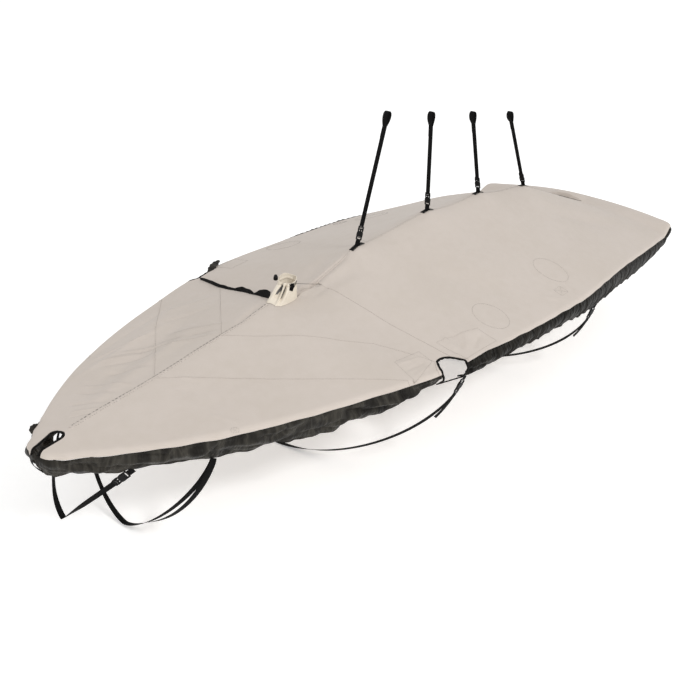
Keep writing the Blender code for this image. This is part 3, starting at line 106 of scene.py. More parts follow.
# Lift straps on the ridge.  Columns: x of the foot, height of the peak under it, x and z of the top.
LIFTS = ((0.275, 0.026, 0.093, 0.905), (-0.308, 0.027, -0.272, 0.852),
         (-0.81, 0.026, -0.662, 0.798), (-1.331, 0.024, -1.057, 0.742))
LIFT_FEET = np.array([lift[0] for lift in LIFTS])
# Peaks under the straps: reach and roundness; the oval round each foot in which the cloth is calm.
PEAK_REACH, PEAK_ROUND = 0.11, 0.018
CALM_LENGTH, CALM_WIDTH = 0.07, 0.04

# Main creases.  Columns: x and y of one end, x and y of the other end, height, half width.
# Each fades over CREASE_FADE of its length at both ends.
CREASE_FADE = 0.25
CREASES = np.array([
    (1.9, -0.05, 1.1, -0.2, 0.01, 0.04), (1.78, -0.16, 0.98, -0.33, -0.009, 0.045),
    (1.62, -0.28, 0.92, -0.5, 0.008, 0.045), (0.66, 0.03, 0.34, 0.1, -0.008, 0.035),
    (0.64, -0.04, 0.3, -0.12, -0.008, 0.04), (0.36, 0.62, 0.2, 0.7, 0.007, 0.04),
    (-1.2, 0.18, -1.72, 0.5, -0.01, 0.07), (-1.22, -0.15, -1.7, -0.46, -0.008, 0.07),
    (-2.03, -0.16, -2.03, 0.12, 0.014, 0.03), (0.1, 0.3, -0.2, 0.62, -0.006, 0.08)])

# Finer creases, as soft ridges and troughs, in the same columns; FINE_DEPTH multiplies their heights.
FINE_DEPTH = 1.35
FINE_CREASES = np.array([
    (1.76, -0.31, 1.1, -0.37, 0.0035, 0.016), (1.66, -0.4, 0.96, -0.52, -0.0032, 0.018),
    (1.59, -0.388, 1.247, -0.343, 0.0045, 0.01), (1.572, -0.339, 1.364, -0.216, 0.0045, 0.01),
    (1.6, -0.3, 1.34, -0.16, -0.004, 0.01), (1.38, -0.226, 1.15, -0.01, 0.0045, 0.01),
    (1.743, -0.247, 1.611, -0.01, 0.0042, 0.01), (1.866, -0.168, 1.753, -0.01, -0.004, 0.009),
    (1.316, -0.264, 1.12, -0.04, -0.0045, 0.011), (1.885, -0.1, 1.81, -0.005, 0.0036, 0.008),
    (1.918, -0.075, 1.84, -0.005, -0.0032, 0.007), (1.627, -0.243, 1.464, -0.08, -0.0045, 0.011),
    (1.79, -0.23, 1.69, -0.02, -0.0036, 0.009), (1.5, -0.33, 1.25, -0.2, 0.0038, 0.01),
    (1.46, -0.3, 1.18, -0.11, -0.0036, 0.01), (1.26, -0.3, 1.06, -0.06, 0.004, 0.01),
    (1.2, -0.4, 0.9, -0.26, -0.0036, 0.016), (1.12, -0.5, 0.8, -0.36, 0.0034, 0.018),
    (1.1, -0.012, 0.862, -0.044, -0.0075, 0.013), (0.935, 0.014, 0.893, 0.012, 0.0035, 0.005),
    (0.935, -0.008, 0.893, -0.006, 0.0035, 0.005), (0.93, 0.036, 0.89, 0.03, 0.0035, 0.005),
    (0.745, 0.012, 0.545, 0.003, -0.017, 0.008), (0.62, 0.004, 0.33, 0.003, -0.011, 0.009),
    (0.735, 0.028, 0.575, 0.014, 0.0085, 0.007), (0.7, -0.022, 0.58, -0.001, -0.01, 0.007),
    (0.69, -0.036, 0.585, -0.009, 0.006, 0.006), (0.69, 0.07, 0.55, 0.06, -0.0035, 0.008),
    (0.44, 0.72, 0.42, 0.6, 0.005, 0.009), (0.42, 0.73, 0.36, 0.62, -0.0045, 0.009),
    (0.4, 0.74, 0.3, 0.65, 0.0045, 0.009), (0.46, 0.73, 0.47, 0.64, -0.0035, 0.008),
    (0.38, 0.75, 0.24, 0.7, -0.0035, 0.01), (0.62, 0.64, 0.76, 0.6, 0.0032, 0.008),
    (0.62, 0.67, 0.77, 0.65, -0.0034, 0.008), (0.62, 0.7, 0.78, 0.7, 0.003, 0.008),
    (-0.49, 0.8, -0.34, 0.7, 0.0035, 0.012), (-0.55, 0.8, -0.62, 0.66, -0.003, 0.014),
    (-1.93, 0.08, -1.82, 0.17, 0.004, 0.01), (-1.94, 0.1, -1.94, 0.22, -0.0035, 0.01),
    (-1.92, 0.06, -1.78, 0.06, -0.003, 0.012), (-1.99, -0.16, -2.02, -0.34, 0.0035, 0.012),
    (1.55, 0.3, 1.5, 0.44, 0.0018, 0.012), (1.5, 0.04, 1.42, 0.16, 0.0018, 0.01),
    (1.54, 0.05, 1.5, 0.2, -0.0016, 0.01)])
# Unrest of the cloth, a slow swell and a faint ripple, which dies out towards both ends of the boat.
# Columns: height, pitch, seed.
UNREST = ((0.0022, 0.55, 3), (0.0005, 0.12, 8))
CALM_END = 0.12

# ---------------------------------------------------------------- seams and openings
# Columns: x at the ridge, x of the knee, y of the knee.
SEAM_B = {"port": (1.552, 1.168, 0.372), "starboard": (1.552, 1.22, 0.372)}
SEAM_B_EDGE = {"port": 0.8, "starboard": 0.95}
SEAM_C = {"port": (1.183, 0.705, 0.445), "starboard": (1.183, 0.722, 0.48)}
SEAM_D = (0.573, 0.54, 0.42)
CLOSURE = (0.832, 0.722, 0.48)
CLOSURE_BEND = (0.75, 0.29)

# Shroud cutouts: x of the fore edge, fore corner, aft corner, x of the aft edge.
CUTOUTS = {"port": (0.628, (0.592, 0.694), (0.503, 0.716), 0.466),
           "starboard": (0.695, (0.652, 0.7), (0.545, 0.732), 0.49)}
CUTOUT_BOWS = {"port": 0.012, "starboard": 0.0}
CUTOUT_BOW_WAY = np.array([0.3, 1.0])
# Bow slot: x where its closed end begins, length of the round end, steps round it, half widths.
SLOT_END, SLOT_TURN, SLOT_STEPS = 1.984, 0.03, 6
SLOT_HALF = {"port": 0.026, "starboard": 0.044}
SLOT_MOUTH = {"port": 0.026, "starboard": 0.02}
# Mast hole, the turn between two stations round it, and the leads before and after it.
MAST_HOLE_CENTRE, MAST_HOLE_HALF_LENGTH, MAST_HOLE_HALF_WIDTH = 0.79, 0.052, 0.031
HOLE_STEP, HOLE_LEAD_FORE, HOLE_LEAD_AFT = math.radians(22.5), 0.02, 0.03
# Stern slit: x, y of both ends, half width, how high its aft lip stands and how far that carries.
SLIT_X, SLIT_SPAN, SLIT_HALF = -1.968, (-0.135, 0.105), 0.009
SLIT_GAPE, SLIT_GAPE_RUN = 0.025, 0.035
# Gaps between sewn pieces: on the centreline, along a seam, and above the skirt.
SEWN_GAP, SEAM_SHIFT, SKIRT_SHIFT = 0.0003, 0.0005, 0.0008

# Rows of a panel from the ridge to the gunwale, as shares of the way, and the steps between them.
ROW_SHARE = np.array([0.0, 0.03, 0.12, 0.3, 0.5, 0.69, 0.87, 1.0])
ROW_STEPS = (2, 7, 14, 16, 15, 15, 11)
BEND_SHARE, KNEE_SHARE, RIM_SHARE = 0.3, 0.5, 0.87
STOP_SHARES = {1: (0.87,), 2: (0.69, 0.87)}
ROLL_STEPS = 6
# How near to its point the three-cornered starboard mast panel comes.
POINT_SHARE = 0.97

# Columns of each panel, and how closely they keep to the bends of its seams.
BOW_COLUMNS, BOW_LEAD, BOW_HOLD = 7, 0.13, 2.0
FORE_COLUMNS, MAST_LEAD_STEPS = 6, 3
AFT_LEAD_STEPS = {"port": 4, "starboard": 5}
BETWEEN_LIFTS = [6, 5, 5, 3]
AFT_HOLD = 9.0
NOSE_GIRTHS = np.array([0.0, 0.036, 0.075, 0.115, 0.16, 0.21, 0.275, 0.345, 0.42])
QUARTER_FROM = -1.7
QUARTER_GIRTHS = np.array([0.13, 0.26, 0.35, 0.382, 0.402, 0.42, 0.445])
QUARTER_CORNER, QUARTER_END = 3, 0.49
FAN_LENGTH, TRANSOM_COLUMNS = 0.1, 13

# ---------------------------------------------------------------- skirt
# Columns: x, hem depth, canvas reach to port, canvas reach to starboard.
SKIRT_X, HEM_DEPTH, REACH_PORT, REACH_STARBOARD = np.array([
    (-2.128, 0.1, 0.95, 0.95), (-2.04, 0.098, 0.95, 0.95), (-1.9, 0.122, 0.9, 0.9),
    (-1.64, 0.15, 0.9, 0.85), (-1.22, 0.158, 0.85, 0.6), (-0.84, 0.15, 0.9, 0.22),
    (-0.64, 0.136, 0.95, 0.1), (-0.43, 0.12, 0.95, 0.05), (-0.2, 0.118, 0.9, 0.05),
    (0.0, 0.109, 0.8, 0.05), (0.185, 0.102, 0.55, 0.08), (0.345, 0.101, 0.25, 0.06),
    (0.43, 0.099, 0.45, 0.04), (0.61, 0.08, 0.85, 0.6), (0.78, 0.106, 0.9, 0.9),
    (1.0, 0.124, 0.95, 0.95), (1.17, 0.134, 0.95, 0.95), (1.4, 0.129, 0.95, 0.95),
    (1.76, 0.118, 0.95, 0.95), (2.03, 0.112, 0.95, 0.95), (2.115, 0.114, 0.95, 0.95)]).T
# How far the hem is drawn in, and how the skirt bulges above it.
HEM_TUCK, SKIRT_BULGE, BULGE_POWER = 0.034, 0.01, 0.8
# Aft of GATHER_FROM the elastic gathers the hem: slow gathers, whose phase wanders along the girth.
GATHER_FROM, GATHER_RUN, GATHER_PITCH, GATHER_SWING = 0.45, 0.25, 0.105, 0.006
WANDER_PITCH, WANDER_SWING = 0.61, 1.4
# Forward of it the cloth hangs in slow slanting drapes, which start a little way from the stem.
DRAPE_PITCH, DRAPE_SWING, DRAPE_SLANT, DRAPE_FROM = 0.95, 0.005, 1.2, 0.25
SKIRT_STEP_FORE, SKIRT_STEP_AFT, SKIRT_ROWS = 0.008, 0.0045, 26
# Pocket of canvas beside the stem, to starboard: share of the roll, girth and half width.
BOW_TIP, BOW_TIP_GIRTH, BOW_TIP_HALF = 0.3, 0.022, 0.014
# Unrest of the seam between canvas and skirt: share of the roll, pitch, seed.
SEAM_UNREST = (0.045, 0.16, 21)
# Lobes of the canvas round the bow, by side.  Columns: girth, half width, height.
BOW_LOBES = {1.0: ((0.055, 0.022, 0.006), (0.115, 0.02, 0.0035), (0.235, 0.016, 0.0025)),
             -1.0: ((0.078, 0.028, 0.011), (0.165, 0.026, 0.009), (0.25, 0.02, 0.003))}
LOBE_POWER = 0.7

# Waves that move the puckers to and fro.  Columns: size, pitch along the girth, phase.
PUCKER_WANDER = ((1.1, 0.37, 0.0), (0.8, 0.83, 1.3))
# Puckers of the gathered skirt: height, pitch, share of the wander, slant towards the hem.
PUCKER_SWING, PUCKER_PITCH, PUCKER_SWAY, PUCKER_SLANT = 0.0052, 0.047, 2.2, 2.6
FINE_PUCKER_SWING, FINE_PUCKER_PITCH, FINE_PUCKER_SWAY = 0.0012, 0.019, 1.7
PUCKER_RUN = 0.9
# They come and go: mean, swing, slant, pitch, seed, least and most; and are calmer near the transom.
PATCHY, PATCHY_SWING, PATCHY_SLANT, PATCHY_PITCH, PATCHY_SEED = 0.6, 0.5, 0.1, 0.31, 17
PATCHY_LIMITS = (0.15, 1.3)
CALM_FROM, CALM_RUN, CALM_SHARE = 2.7, 0.8, 0.55
# Puff of the cloth above the elastic: height, share of the depth, power of its sine.
PUFF_SWING, PUFF_SHARE, PUFF_POWER = 0.004, 0.8, 0.7
# Creased drapes forward.  Columns: height, slant, unrest down the skirt, pitch, seed.
DRAPES = ((0.015, -0.1, 0.34, 0.46, 14), (0.01, 0.06, 0.2, 0.19, 15))
DRAPE_LEVEL, DRAPE_RUN = 0.8, 0.35
# Short ripples of the forward hem: height, slant, pitch, seed, power of their growth downwards.
RIPPLE_SWING, RIPPLE_SLANT, RIPPLE_PITCH, RIPPLE_SEED, RIPPLE_POWER = 0.002, 0.05, 0.085, 16, 1.5
SEAM_HOLD = 0.12

# Scallops of the hem: height, mean, what the puckers add and their phase, and even unrest.
HEM_SCALLOP, HEM_MEAN, HEM_PUCKER, HEM_PHASE = 0.0022, 1.1, 0.3, 1.2
# Columns: size, pitch, seed.
HEM_UNREST = ((1.3, 0.21, 31), (0.7, 0.05, 32))
# Bead of the hem's casing: share of the way down, half height as a share, thickness.
HEM_BEAD_AT, HEM_BEAD_HALF, HEM_BEAD_THICK = 0.94, 0.05, 0.0048

# ---------------------------------------------------------------- bindings, closure and collar
# Folded tape round an opening: width, thickness, gap to the raw edge, and how its width wavers.
BINDING_WIDTH, BINDING_THICK, BINDING_GAP = 0.0115, 0.006, 0.0007
BINDING_WAVER = (0.1, 0.9, 1.3, 0.23)
# Closure band from the mast to the starboard cutout: y of both ends and how far aft its foot stands.
CLOSURE_FROM, CLOSURE_TO, CLOSURE_FOOT = 0.062, 0.672, 0.006
# Columns: y, width, tilt in degrees.
CLOSURE_BAND = np.array([
    (0.062, 0.034, 70), (0.09, 0.036, 72), (0.15, 0.03, 72), (0.18, 0.014, 60),
    (0.195, 0.008, 50), (0.235, 0.02, 70), (0.3, 0.025, 72), (0.355, 0.012, 60),
    (0.385, 0.01, 60), (0.44, 0.016, 72), (0.56, 0.018, 76), (0.672, 0.012, 76)])
CLOSURE_THICK = 0.0022
# Tape sewn aft of the band: y of both ends, distance from the closure, widths, height.
TAPE_SPAN, TAPE_OFF, TAPE_WIDTHS, TAPE_LIFT = (0.235, 0.665), 0.02, (0.004, 0.007, 0.009, 0.006), 0.0012
STEM_STRIP_WIDTH, STEM_STRIP_GIRTH, STEM_STRIP_THICK = 0.02, 0.01, 0.002

# Mast collar: its foot on the canvas, its round head, and how squarely and how fast one becomes the other.
COLLAR_FRONT, COLLAR_BACK, COLLAR_HALF_FRONT, COLLAR_HALF_BACK = 0.882, 0.722, 0.045, 0.036
COLLAR_TOP_CENTRE, COLLAR_TOP_RADIUS, COLLAR_TOP_Z = 0.772, 0.044, 0.262
COLLAR_TOP_TILT, COLLAR_TOP_TURN, COLLAR_TOP_SQUASH = 0.008, 0.6, 0.9
COLLAR_SQUARE, COLLAR_TAPER = 0.62, 1.5
COLLAR_AROUND, COLLAR_LEVELS, COLLAR_LENGTH = 280, 56, 0.42
# Waist drawn in by the elastic: depth, level and half height.
WAIST_DRAW, WAIST_LEVEL, WAIST_HALF = 0.0032, 0.8, 0.05
# Folds of the collar.  Columns: bearing and half width in degrees, depth, level, span of levels.
COLLAR_FOLDS = (
    (7, 12, -0.033, 0.5, 0.38), (26, 5, 0.008, 0.46, 0.36), (41, 8, -0.028, 0.52, 0.32),
    (52, 5, 0.006, 0.45, 0.3),
    (-30, 10, 0.004, 0.45, 0.34), (-12, 5, 0.0035, 0.4, 0.3), (18, 4, 0.0026, 0.62, 0.22),
    (62, 6, 0.0035, 0.4, 0.3), (-55, 6, -0.004, 0.55, 0.3), (95, 8, -0.003, 0.6, 0.25),
    (120, 6, 0.0026, 0.5, 0.25), (150, 8, -0.0036, 0.45, 0.3), (175, 6, 0.003, 0.5, 0.3),
    (-80, 7, 0.003, 0.4, 0.3), (-105, 7, -0.0032, 0.5, 0.28), (-135, 8, 0.003, 0.45, 0.3),
    (-160, 6, -0.0028, 0.6, 0.25), (34, 3, -0.0024, 0.85, 0.1), (-20, 4, -0.0024, 0.85, 0.12))
# Painted shade in the deepest folds: dark patches laid on the collar.  Columns: bearing and half width in
# degrees, levels of both ends.
FOLD_SHADE_PATCHES = ((4, 13, 0.14, 0.86), (37, 5, 0.26, 0.84))
# Tab and cord lock on the collar: bearings, and the lock's distance, drop, radius and height.
TAB_WIDTH, TAB_BEARING, TAB_LEVELS = 0.02, math.radians(78), (1.02, 0.62)
LOCK_BEARING, LOCK_OFF, LOCK_DROP, LOCK_RADIUS, LOCK_HEIGHT = (
    math.radians(-62), 0.0125, 0.002, 0.0105, 0.026)
# Profile of the lock.  Columns: level, as a share of its height, and radius, as a share of its own.
LOCK_PROFILE = np.array([
    (-0.5, 0.35), (-0.49, 0.55), (-0.44, 0.78), (-0.36, 0.95), (-0.1, 1.0), (-0.08, 0.94),
    (0.04, 0.94), (0.12, 1.0), (0.2, 0.8), (0.26, 0.7), (0.44, 0.68), (0.5, 0.5)])
# Elastic that hangs out of the collar: bearings in degrees, level, sag, power of its sine, diameter.
ELASTIC_BEARINGS, ELASTIC_LEVEL, ELASTIC_SAG = (58, 112), 0.97, 0.3
ELASTIC_POWER, ELASTIC_THICK = 1.2, 0.0028

# ---------------------------------------------------------------- straps and buckles
WEBBING_WIDTH, WEBBING_THICK = 0.025, 0.0018
# Sewn foot of a lift, its upright neck, and the loop at the strap's top.
FOOT_LENGTH, NECK_HEIGHT, NECK_HALF = 0.045, 0.026, 0.0021
LOOP_HEIGHT, LOOP_WIDTH, LOOP_TAIL, LOOP_FULLNESS, LOOP_DOUBLE = 0.07, 0.034, 0.055, 1.3, 0.0005
# Hull straps: gap under the hem and behind it, and the share of the width over which they turn to lie
# along the hull.  Those aft of TWIST_FROM twist, all but their ends.
STRAP_DROP, STRAP_INSET, STRAP_LIE = 0.0005, 0.0006, 0.45
STRAP_TWIST, TWIST_FROM, TWIST_RUN = 0.8, 1.0, 0.12
# Straight lead of a strap, where the bend begins after it, and how far off the strap its tail lies.
STRAP_LEAD, STRAP_BEND, TAIL_OFF = 0.01, 0.022, 0.0007

# Buckle.  Levels: share of the thickness, then how far the outline keeps its length and its width.
BUCKLE_LENGTH, BUCKLE_WIDTH, BUCKLE_THICK = 0.066, 0.033, 0.01
BUCKLE_LEVELS = ((-0.5, 0.955, 0.88), (-0.42, 0.985, 0.96), (-0.25, 1, 1),
                 (0.25, 1, 1), (0.42, 0.985, 0.96), (0.5, 0.955, 0.88))
# Outlines, as shares of the length and the width: body, parts that come in pairs, parts in the middle.
BUCKLE_BODY = ((-0.27, 0.43), (-0.2, 0.485), (-0.08, 0.5), (0.03, 0.47), (0.1, 0.4), (0.13, 0.22))
BUCKLE_PAIRS = (
    ((0.06, 0.3), (0.1, 0.42), (0.17, 0.475), (0.24, 0.46), (0.3, 0.38), (0.3, 0.27),
     (0.22, 0.33), (0.14, 0.32)),
    ((-0.49, 0.5), (-0.22, 0.5), (-0.22, 0.4), (-0.49, 0.4)),
    ((0.25, 0.49), (0.49, 0.45), (0.49, 0.36), (0.25, 0.38)))
BUCKLE_PRONG = ((0.08, 0.09), (0.27, 0.09))
BUCKLE_PLATE = ((0.235, 0.4), (0.235, 0.46), (0.3, 0.48), (0.33, 0.46))
# Columns: place along the buckle, half length.
BUCKLE_BARS = ((-0.475, 0.025), (-0.33, 0.02), (0.4, 0.018), (0.478, 0.022))
BAR_HALF_WIDTH, SLIM, THIN = 0.43, 0.66, 0.52
# Straps under the hull.  Columns: x at the hem, x and z at the keel, fullness of the section,
# tab, tail, how far the tail sags and how far its end stands off.
HULL_STRAPS = {"bow": (1.872, 2.02, -0.365, 1.05, 0.026, 0.0, 0.0, 0.0),
               "fore": (1.615, 1.735, -0.54, 1.45, 0.0, 0.44, 0.03, 0.002),
               "mid": (0.43, 0.83, -0.55, 1.8, 0.02, 0.14, 0.0, 0.016),
               "aft": (-0.9, -0.5, -0.52, 2.1, 0.02, 0.12, 0.0, 0.016)}

# ---------------------------------------------------------------- sewn work
# Strips along the ridge.  Columns: x of both ends, widths along it, height, pucker.
RIDGE_STRIPS = (((1.955, 0.893), (0.022, 0.019, 0.015), 0.0016, 0.0022),
                ((0.712, -1.955), (0.013, 0.013), 0.0008, 0.0004),
                ((-1.981, -2.098), (0.013, 0.013), 0.0008, 0.0))
# Rows beside the ridge; the long, wide dark stitches of the forward strip's starboard row also paint the
# shaded crease beside the seam.  Columns: strip, side, y of both ends, height, stitch length, width, pitch.
RIDGE_ROWS = ((0, 1.0, (0.0078, 0.0052), 0.0018, 0.0052, 0.0014, 0.0105),
              (0, -1.0, (0.0078, 0.0052), 0.0018, 0.015, 0.0036, 0.0185),
              (1, 1.0, (0.0042, 0.0042), 0.001, 0.003, 0.0009, None),
              (1, -1.0, (0.0042, 0.0042), 0.001, 0.003, 0.0009, None))
# Seams across: distance from a cutout, width and thickness, and the row's distance beside and above.
CUTOUT_SEAM_OFF, CROSS_WIDTH, CROSS_THICK, CROSS_BESIDE, CROSS_ABOVE = 0.012, 0.007, 0.0016, 0.0024, 0.0008
# Patches on the canvas, as plan corners with y to their own side.
PATCHES = ((1.0, ((0.746, 0.582), (0.59, 0.606), (0.6, 0.688), (0.782, 0.728))),
           (1.0, ((0.486, 0.612), (0.222, 0.672), (0.207, 0.776), (0.462, 0.77))),
           (-1.0, ((0.486, 0.629), (0.352, 0.64), (0.329, 0.765), (0.478, 0.768))))
# Stitched rings.  Columns: x, y, radius.  Boxes: x, y, turn, length, width.
CIRCLES = ((-0.625, 0.59, 0.095), (0.072, 0.652, 0.09))
BOXES = ((1.545, 0.44, -0.55, 0.03, 0.03), (-0.5, 0.722, 0.03, 0.075, 0.05))

# Flat cut of each cloth piece: width, length and area in metres.
CLOTH_CUTS = {
    "panel_bow_port": (0.73, 1.34, 0.345), "panel_bow_starboard": (0.68, 1.19, 0.315),
    "panel_fore_port": (0.78, 0.98, 0.262), "panel_fore_starboard": (0.78, 0.92, 0.272),
    "panel_mast_port": (0.74, 0.74, 0.219), "panel_mast_starboard": (0.5, 0.52, 0.092),
    "panel_aft_port": (0.98, 2.85, 2.21), "panel_aft_starboard": (1.0, 3.06, 2.33),
    "skirt_fore_port": (0.16, 1.66, 0.214), "skirt_fore_starboard": (0.16, 1.6, 0.209),
    "skirt_aft_port": (0.19, 2.95, 0.347), "skirt_aft_starboard": (0.2, 2.95, 0.384),
    "skirt_transom": (0.15, 1.75, 0.14), "mast_collar": (0.13, 0.46, 0.037)}

# Cloth: how dark the gaps between threads are, painted shade in the weave's hollows; the skirt's thread
# pitch; and how sharply and to what colour the skirt's fold ridges are lightened, partly fading and partly
# a painted highlight.
THREAD_SHADE, NYLON_PITCH, RIDGE_FADE_AND_LIGHT_SHARPNESS, FADED_AND_LIT_NYLON = 0.1, 0.0006, 7.0, (0.044, 0.04, 0.033)

# ---------------------------------------------------------------- stage
# Lights.  Columns: name, place, size, power in watts.
LIGHTS = (("key_light", (2.6, 12.0, 11.2), 2.6, 1000), ("fill_light", (6.0, 2.5, 5.0), 4.0, 50))
# Strength of the world on the cover, and what is added where the camera sees the world itself.
WORLD_STRENGTH, BACKDROP_STRENGTH = 0.8, 0.6
FLOOR_REACH, FLOOR_DROP, FLOOR_GLOW = 60.0, 0.002, 0.3
# Camera: place, and which way its right, its top and its back point.
CAMERA_PLACE = (3.781, 2.658, 1.879)
CAMERA_AXES = ((-0.6236, 0.7801, 0.0497), (-0.315, -0.3089, 0.8974), (0.7154, 0.544, 0.4384))
SENSOR_WIDTH, CLIP_END = 36.0, 200.0

PORT, STARBOARD = 1.0, -1.0
SIDES = {"port": PORT, "starboard": STARBOARD}
MIRROR = np.array([1.0, -1.0])
TAU = 2 * math.pi


# ================================================================ curves and the cover's form
def hermite(at, knots, values):
    """Smooth curve through a table: a cubic between rows, with the table's own slopes."""
    at = np.clip(np.asarray(at, float), knots[0], knots[-1])
    slopes = np.gradient(values, knots, axis=0)
    row = np.clip(np.searchsorted(knots, at, side="right") - 1, 0, len(knots) - 2)
    step = knots[row + 1] - knots[row]
    share = (at - knots[row]) / step
    if values.ndim == 2:
        share, step = share[..., None], step[..., None]
    rest = 1 - share
    return ((1 + 2 * share) * rest ** 2 * values[row] + share * rest ** 2 * step * slopes[row]
            + share ** 2 * (3 - 2 * share) * values[row + 1]
            - share ** 2 * rest * step * slopes[row + 1])


def ease(share):
    """Smooth step: 3 s^2 - 2 s^3 of a share s held between 0 and 1."""
    share = np.clip(share, 0.0, 1.0)
    return share * share * (3 - 2 * share)


def unit(vector):
    """Vectors divided by their lengths."""
    return vector / np.linalg.norm(vector, axis=-1, keepdims=True)


def run_along(path):
    """Distance along a path at each of its points: the sum of the steps before it."""
    return np.concatenate([[0.0], np.cumsum(np.linalg.norm(np.diff(path, axis=0), axis=1))])


def read_at(at, run, rows):
    """Rows of a table read at the given distances, in straight lines between the table's own."""
    return np.stack([np.interp(at, run, column) for column in np.transpose(rows)], axis=-1)


ROUND_PLAN = np.vstack([GUNWALE[2:0:-1] * MIRROR, GUNWALE, GUNWALE[-2:-4:-1] * MIRROR])
CHORD = run_along(ROUND_PLAN)
CHORD -= CHORD[2]
GIRTH = CHORD[-3]
FINE = np.linspace(0.0, GIRTH, 4001)
FINE_PLAN = hermite(FINE, CHORD, ROUND_PLAN)
SIDE_END = -2.075
CORNER = int(np.argmin(np.abs(FINE_PLAN[:, 0] - SIDE_END)))
SIDE_X, SIDE_Y = FINE_PLAN[:CORNER][::-1].T
SIDE_S = FINE[:CORNER][::-1]


def plan(s):
    """Point and outward normal of the gunwale's plan, s metres round from the stem."""
    small = 0.002
    along = unit(hermite(np.asarray(s) + small, CHORD, ROUND_PLAN)
                 - hermite(np.asarray(s) - small, CHORD, ROUND_PLAN))
    return hermite(s, CHORD, ROUND_PLAN), np.stack([along[..., 1], -along[..., 0]], axis=-1)


def girth_at(x):
    """Distance round from the stem to the side station x."""
    return np.interp(x, SIDE_X, SIDE_S)


def half_breadth(x):
    """y of the gunwale at a station, kept from closing at the stem."""
    return np.maximum(np.interp(x, SIDE_X, SIDE_Y), LEAST_BREADTH)


def sheer(x):
    """Height of the gunwale: a line and a parabola along the boat, lifted at the transom."""
    along = np.asarray(x) / HALF_LENGTH
    lift = STERN_LIFT * ease((STERN_LIFT_FROM - np.asarray(x)) / STERN_LIFT_RUN)
    return SHEER_TRIM * along - SHEER_CROWN * (along ** 2 - SHEER_LEVEL) + lift


def crease(x, y, table):
    """Sum of soft ridges and troughs, each a bell across its line that fades at both ends."""
    total = 0.0
    for x0, y0, x1, y1, height, half in table:
        run_x, run_y = x1 - x0, y1 - y0
        share = ((x - x0) * run_x + (y - y0) * run_y) / (run_x ** 2 + run_y ** 2)
        off = ((x - x0) * run_y - (y - y0) * run_x) / math.hypot(run_x, run_y)
        fade = ease(share / CREASE_FADE) * ease((1 - share) / CREASE_FADE)
        total = total + height * fade * np.exp(-(off / half) ** 2)
    return total


def swell(x, y, pitch, seed):
    """Even unrest of about one unit: the sum of six sine waves with seeded ways and phases."""
    draw = np.random.default_rng(seed)
    total = 0.0
    for way, phase, grow in zip(draw.uniform(0, math.pi, 6), draw.uniform(0, TAU, 6),
                                draw.uniform(0.7, 1.5, 6)):
        run = (x * math.cos(way) + y * math.sin(way)) * TAU * grow / pitch
        total = total + np.sin(run + phase)
    return total / math.sqrt(6)


def tent(x, y):
    """Height of the plain cover at a point of the plan: tent section, strap peaks, main creases."""
    x, y = np.asarray(x, float), np.asarray(y, float)
    base = sheer(x)
    rise = hermite(x, RIDGE_X, RIDGE_Z) - base
    out = np.abs(y) / half_breadth(x)
    out = np.sqrt(out ** 2 + RIDGE_ROUND ** 2) - RIDGE_ROUND
    out = np.minimum(out / (math.hypot(1, RIDGE_ROUND) - RIDGE_ROUND), 1.0)
    crown = ease((CROWN_FROM - x) / CROWN_RUN)
    power = 1 + (CROWN_POWER - 1) * crown
    section = 1 - out ** power - RIDGE_HOLLOW * (1 - crown) * out * (1 - out)
    peaks = 0.0
    for foot_x, peak, _, _ in LIFTS:
        away = np.sqrt((x - foot_x) ** 2 + y ** 2 + PEAK_ROUND ** 2) - PEAK_ROUND
        peaks = peaks + peak * np.exp(-away / PEAK_REACH)
    sink = STARBOARD_SINK * ease((CROWN_FROM - x) / CROWN_RUN) * ease(-y / half_breadth(x))
    return base + rise * section + peaks * (1 - out) + crease(x, y, CREASES) * (1 - out ** 6) - sink


def relief(x, y):
    """What the canvas adds to the plain cover: fine creases, unrest and the slit's raised aft lip.

    The lip is a half sine along the slit, and dies away aft of it as exp(-distance / run).
    """
    out = np.minimum(np.abs(y) / half_breadth(x), 1.0)
    unrest = sum(height * swell(x, y, pitch, seed) for height, pitch, seed in UNREST)
    ends = ease((HALF_LENGTH - np.abs(x)) / CALM_END)
    feet = np.ones_like(np.asarray(x, float))
    for foot_x in LIFT_FEET:
        feet = feet * (1 - np.exp(-(((x - foot_x) / CALM_LENGTH) ** 2 + (y / CALM_WIDTH) ** 2)))
    along = np.clip((y - SLIT_SPAN[0]) / (SLIT_SPAN[1] - SLIT_SPAN[0]), 0.0, 1.0)
    gape = SLIT_GAPE * np.sin(math.pi * along) * ease((SLIT_X + 0.004 - x) / 0.008)
    gape = gape * np.exp(-np.maximum(SLIT_X - x, 0.0) / SLIT_GAPE_RUN)
    return (FINE_DEPTH * crease(x, y, FINE_CREASES) * (1 - out ** 20) + gape
            + unrest * feet * ends * (1 - out ** 6))


def skin(x, y):
    """Height of the finished canvas."""
    return tent(x, y) + relief(x, y)


def skin_point(x, y, lift=0.0):
    """Points on the canvas, lifted off it along its normal, and the normals."""
    small = 0.003
    slope_x = (skin(x + small, y) - skin(x - small, y)) / (2 * small)
    slope_y = (skin(x, y + small) - skin(x, y - small)) / (2 * small)
    normal = unit(np.stack([-slope_x, -slope_y, np.ones_like(slope_x)], axis=-1))
    return np.stack([x, y, skin(x, y)], axis=-1) + normal * np.asarray(lift)[..., None], normal


# ================================================================ the roll over the gunwale
def rim(s, side):
    """Plan point, outward normal, slope and height where the canvas starts its roll."""
    point, outward = plan(s)
    inner = point - ROLL_RADIUS * outward
    step = inner - ROLL_LEAD * outward
    fall = tent(step[..., 0], side * step[..., 1]) - tent(inner[..., 0], side * inner[..., 1])
    slope = np.clip(np.arctan(fall / ROLL_LEAD), *ROLL_SLOPES)
    start = point - ROLL_RADIUS * (1 - np.sin(slope))[..., None] * outward
    return start, outward, slope, tent(start[..., 0], side * start[..., 1])


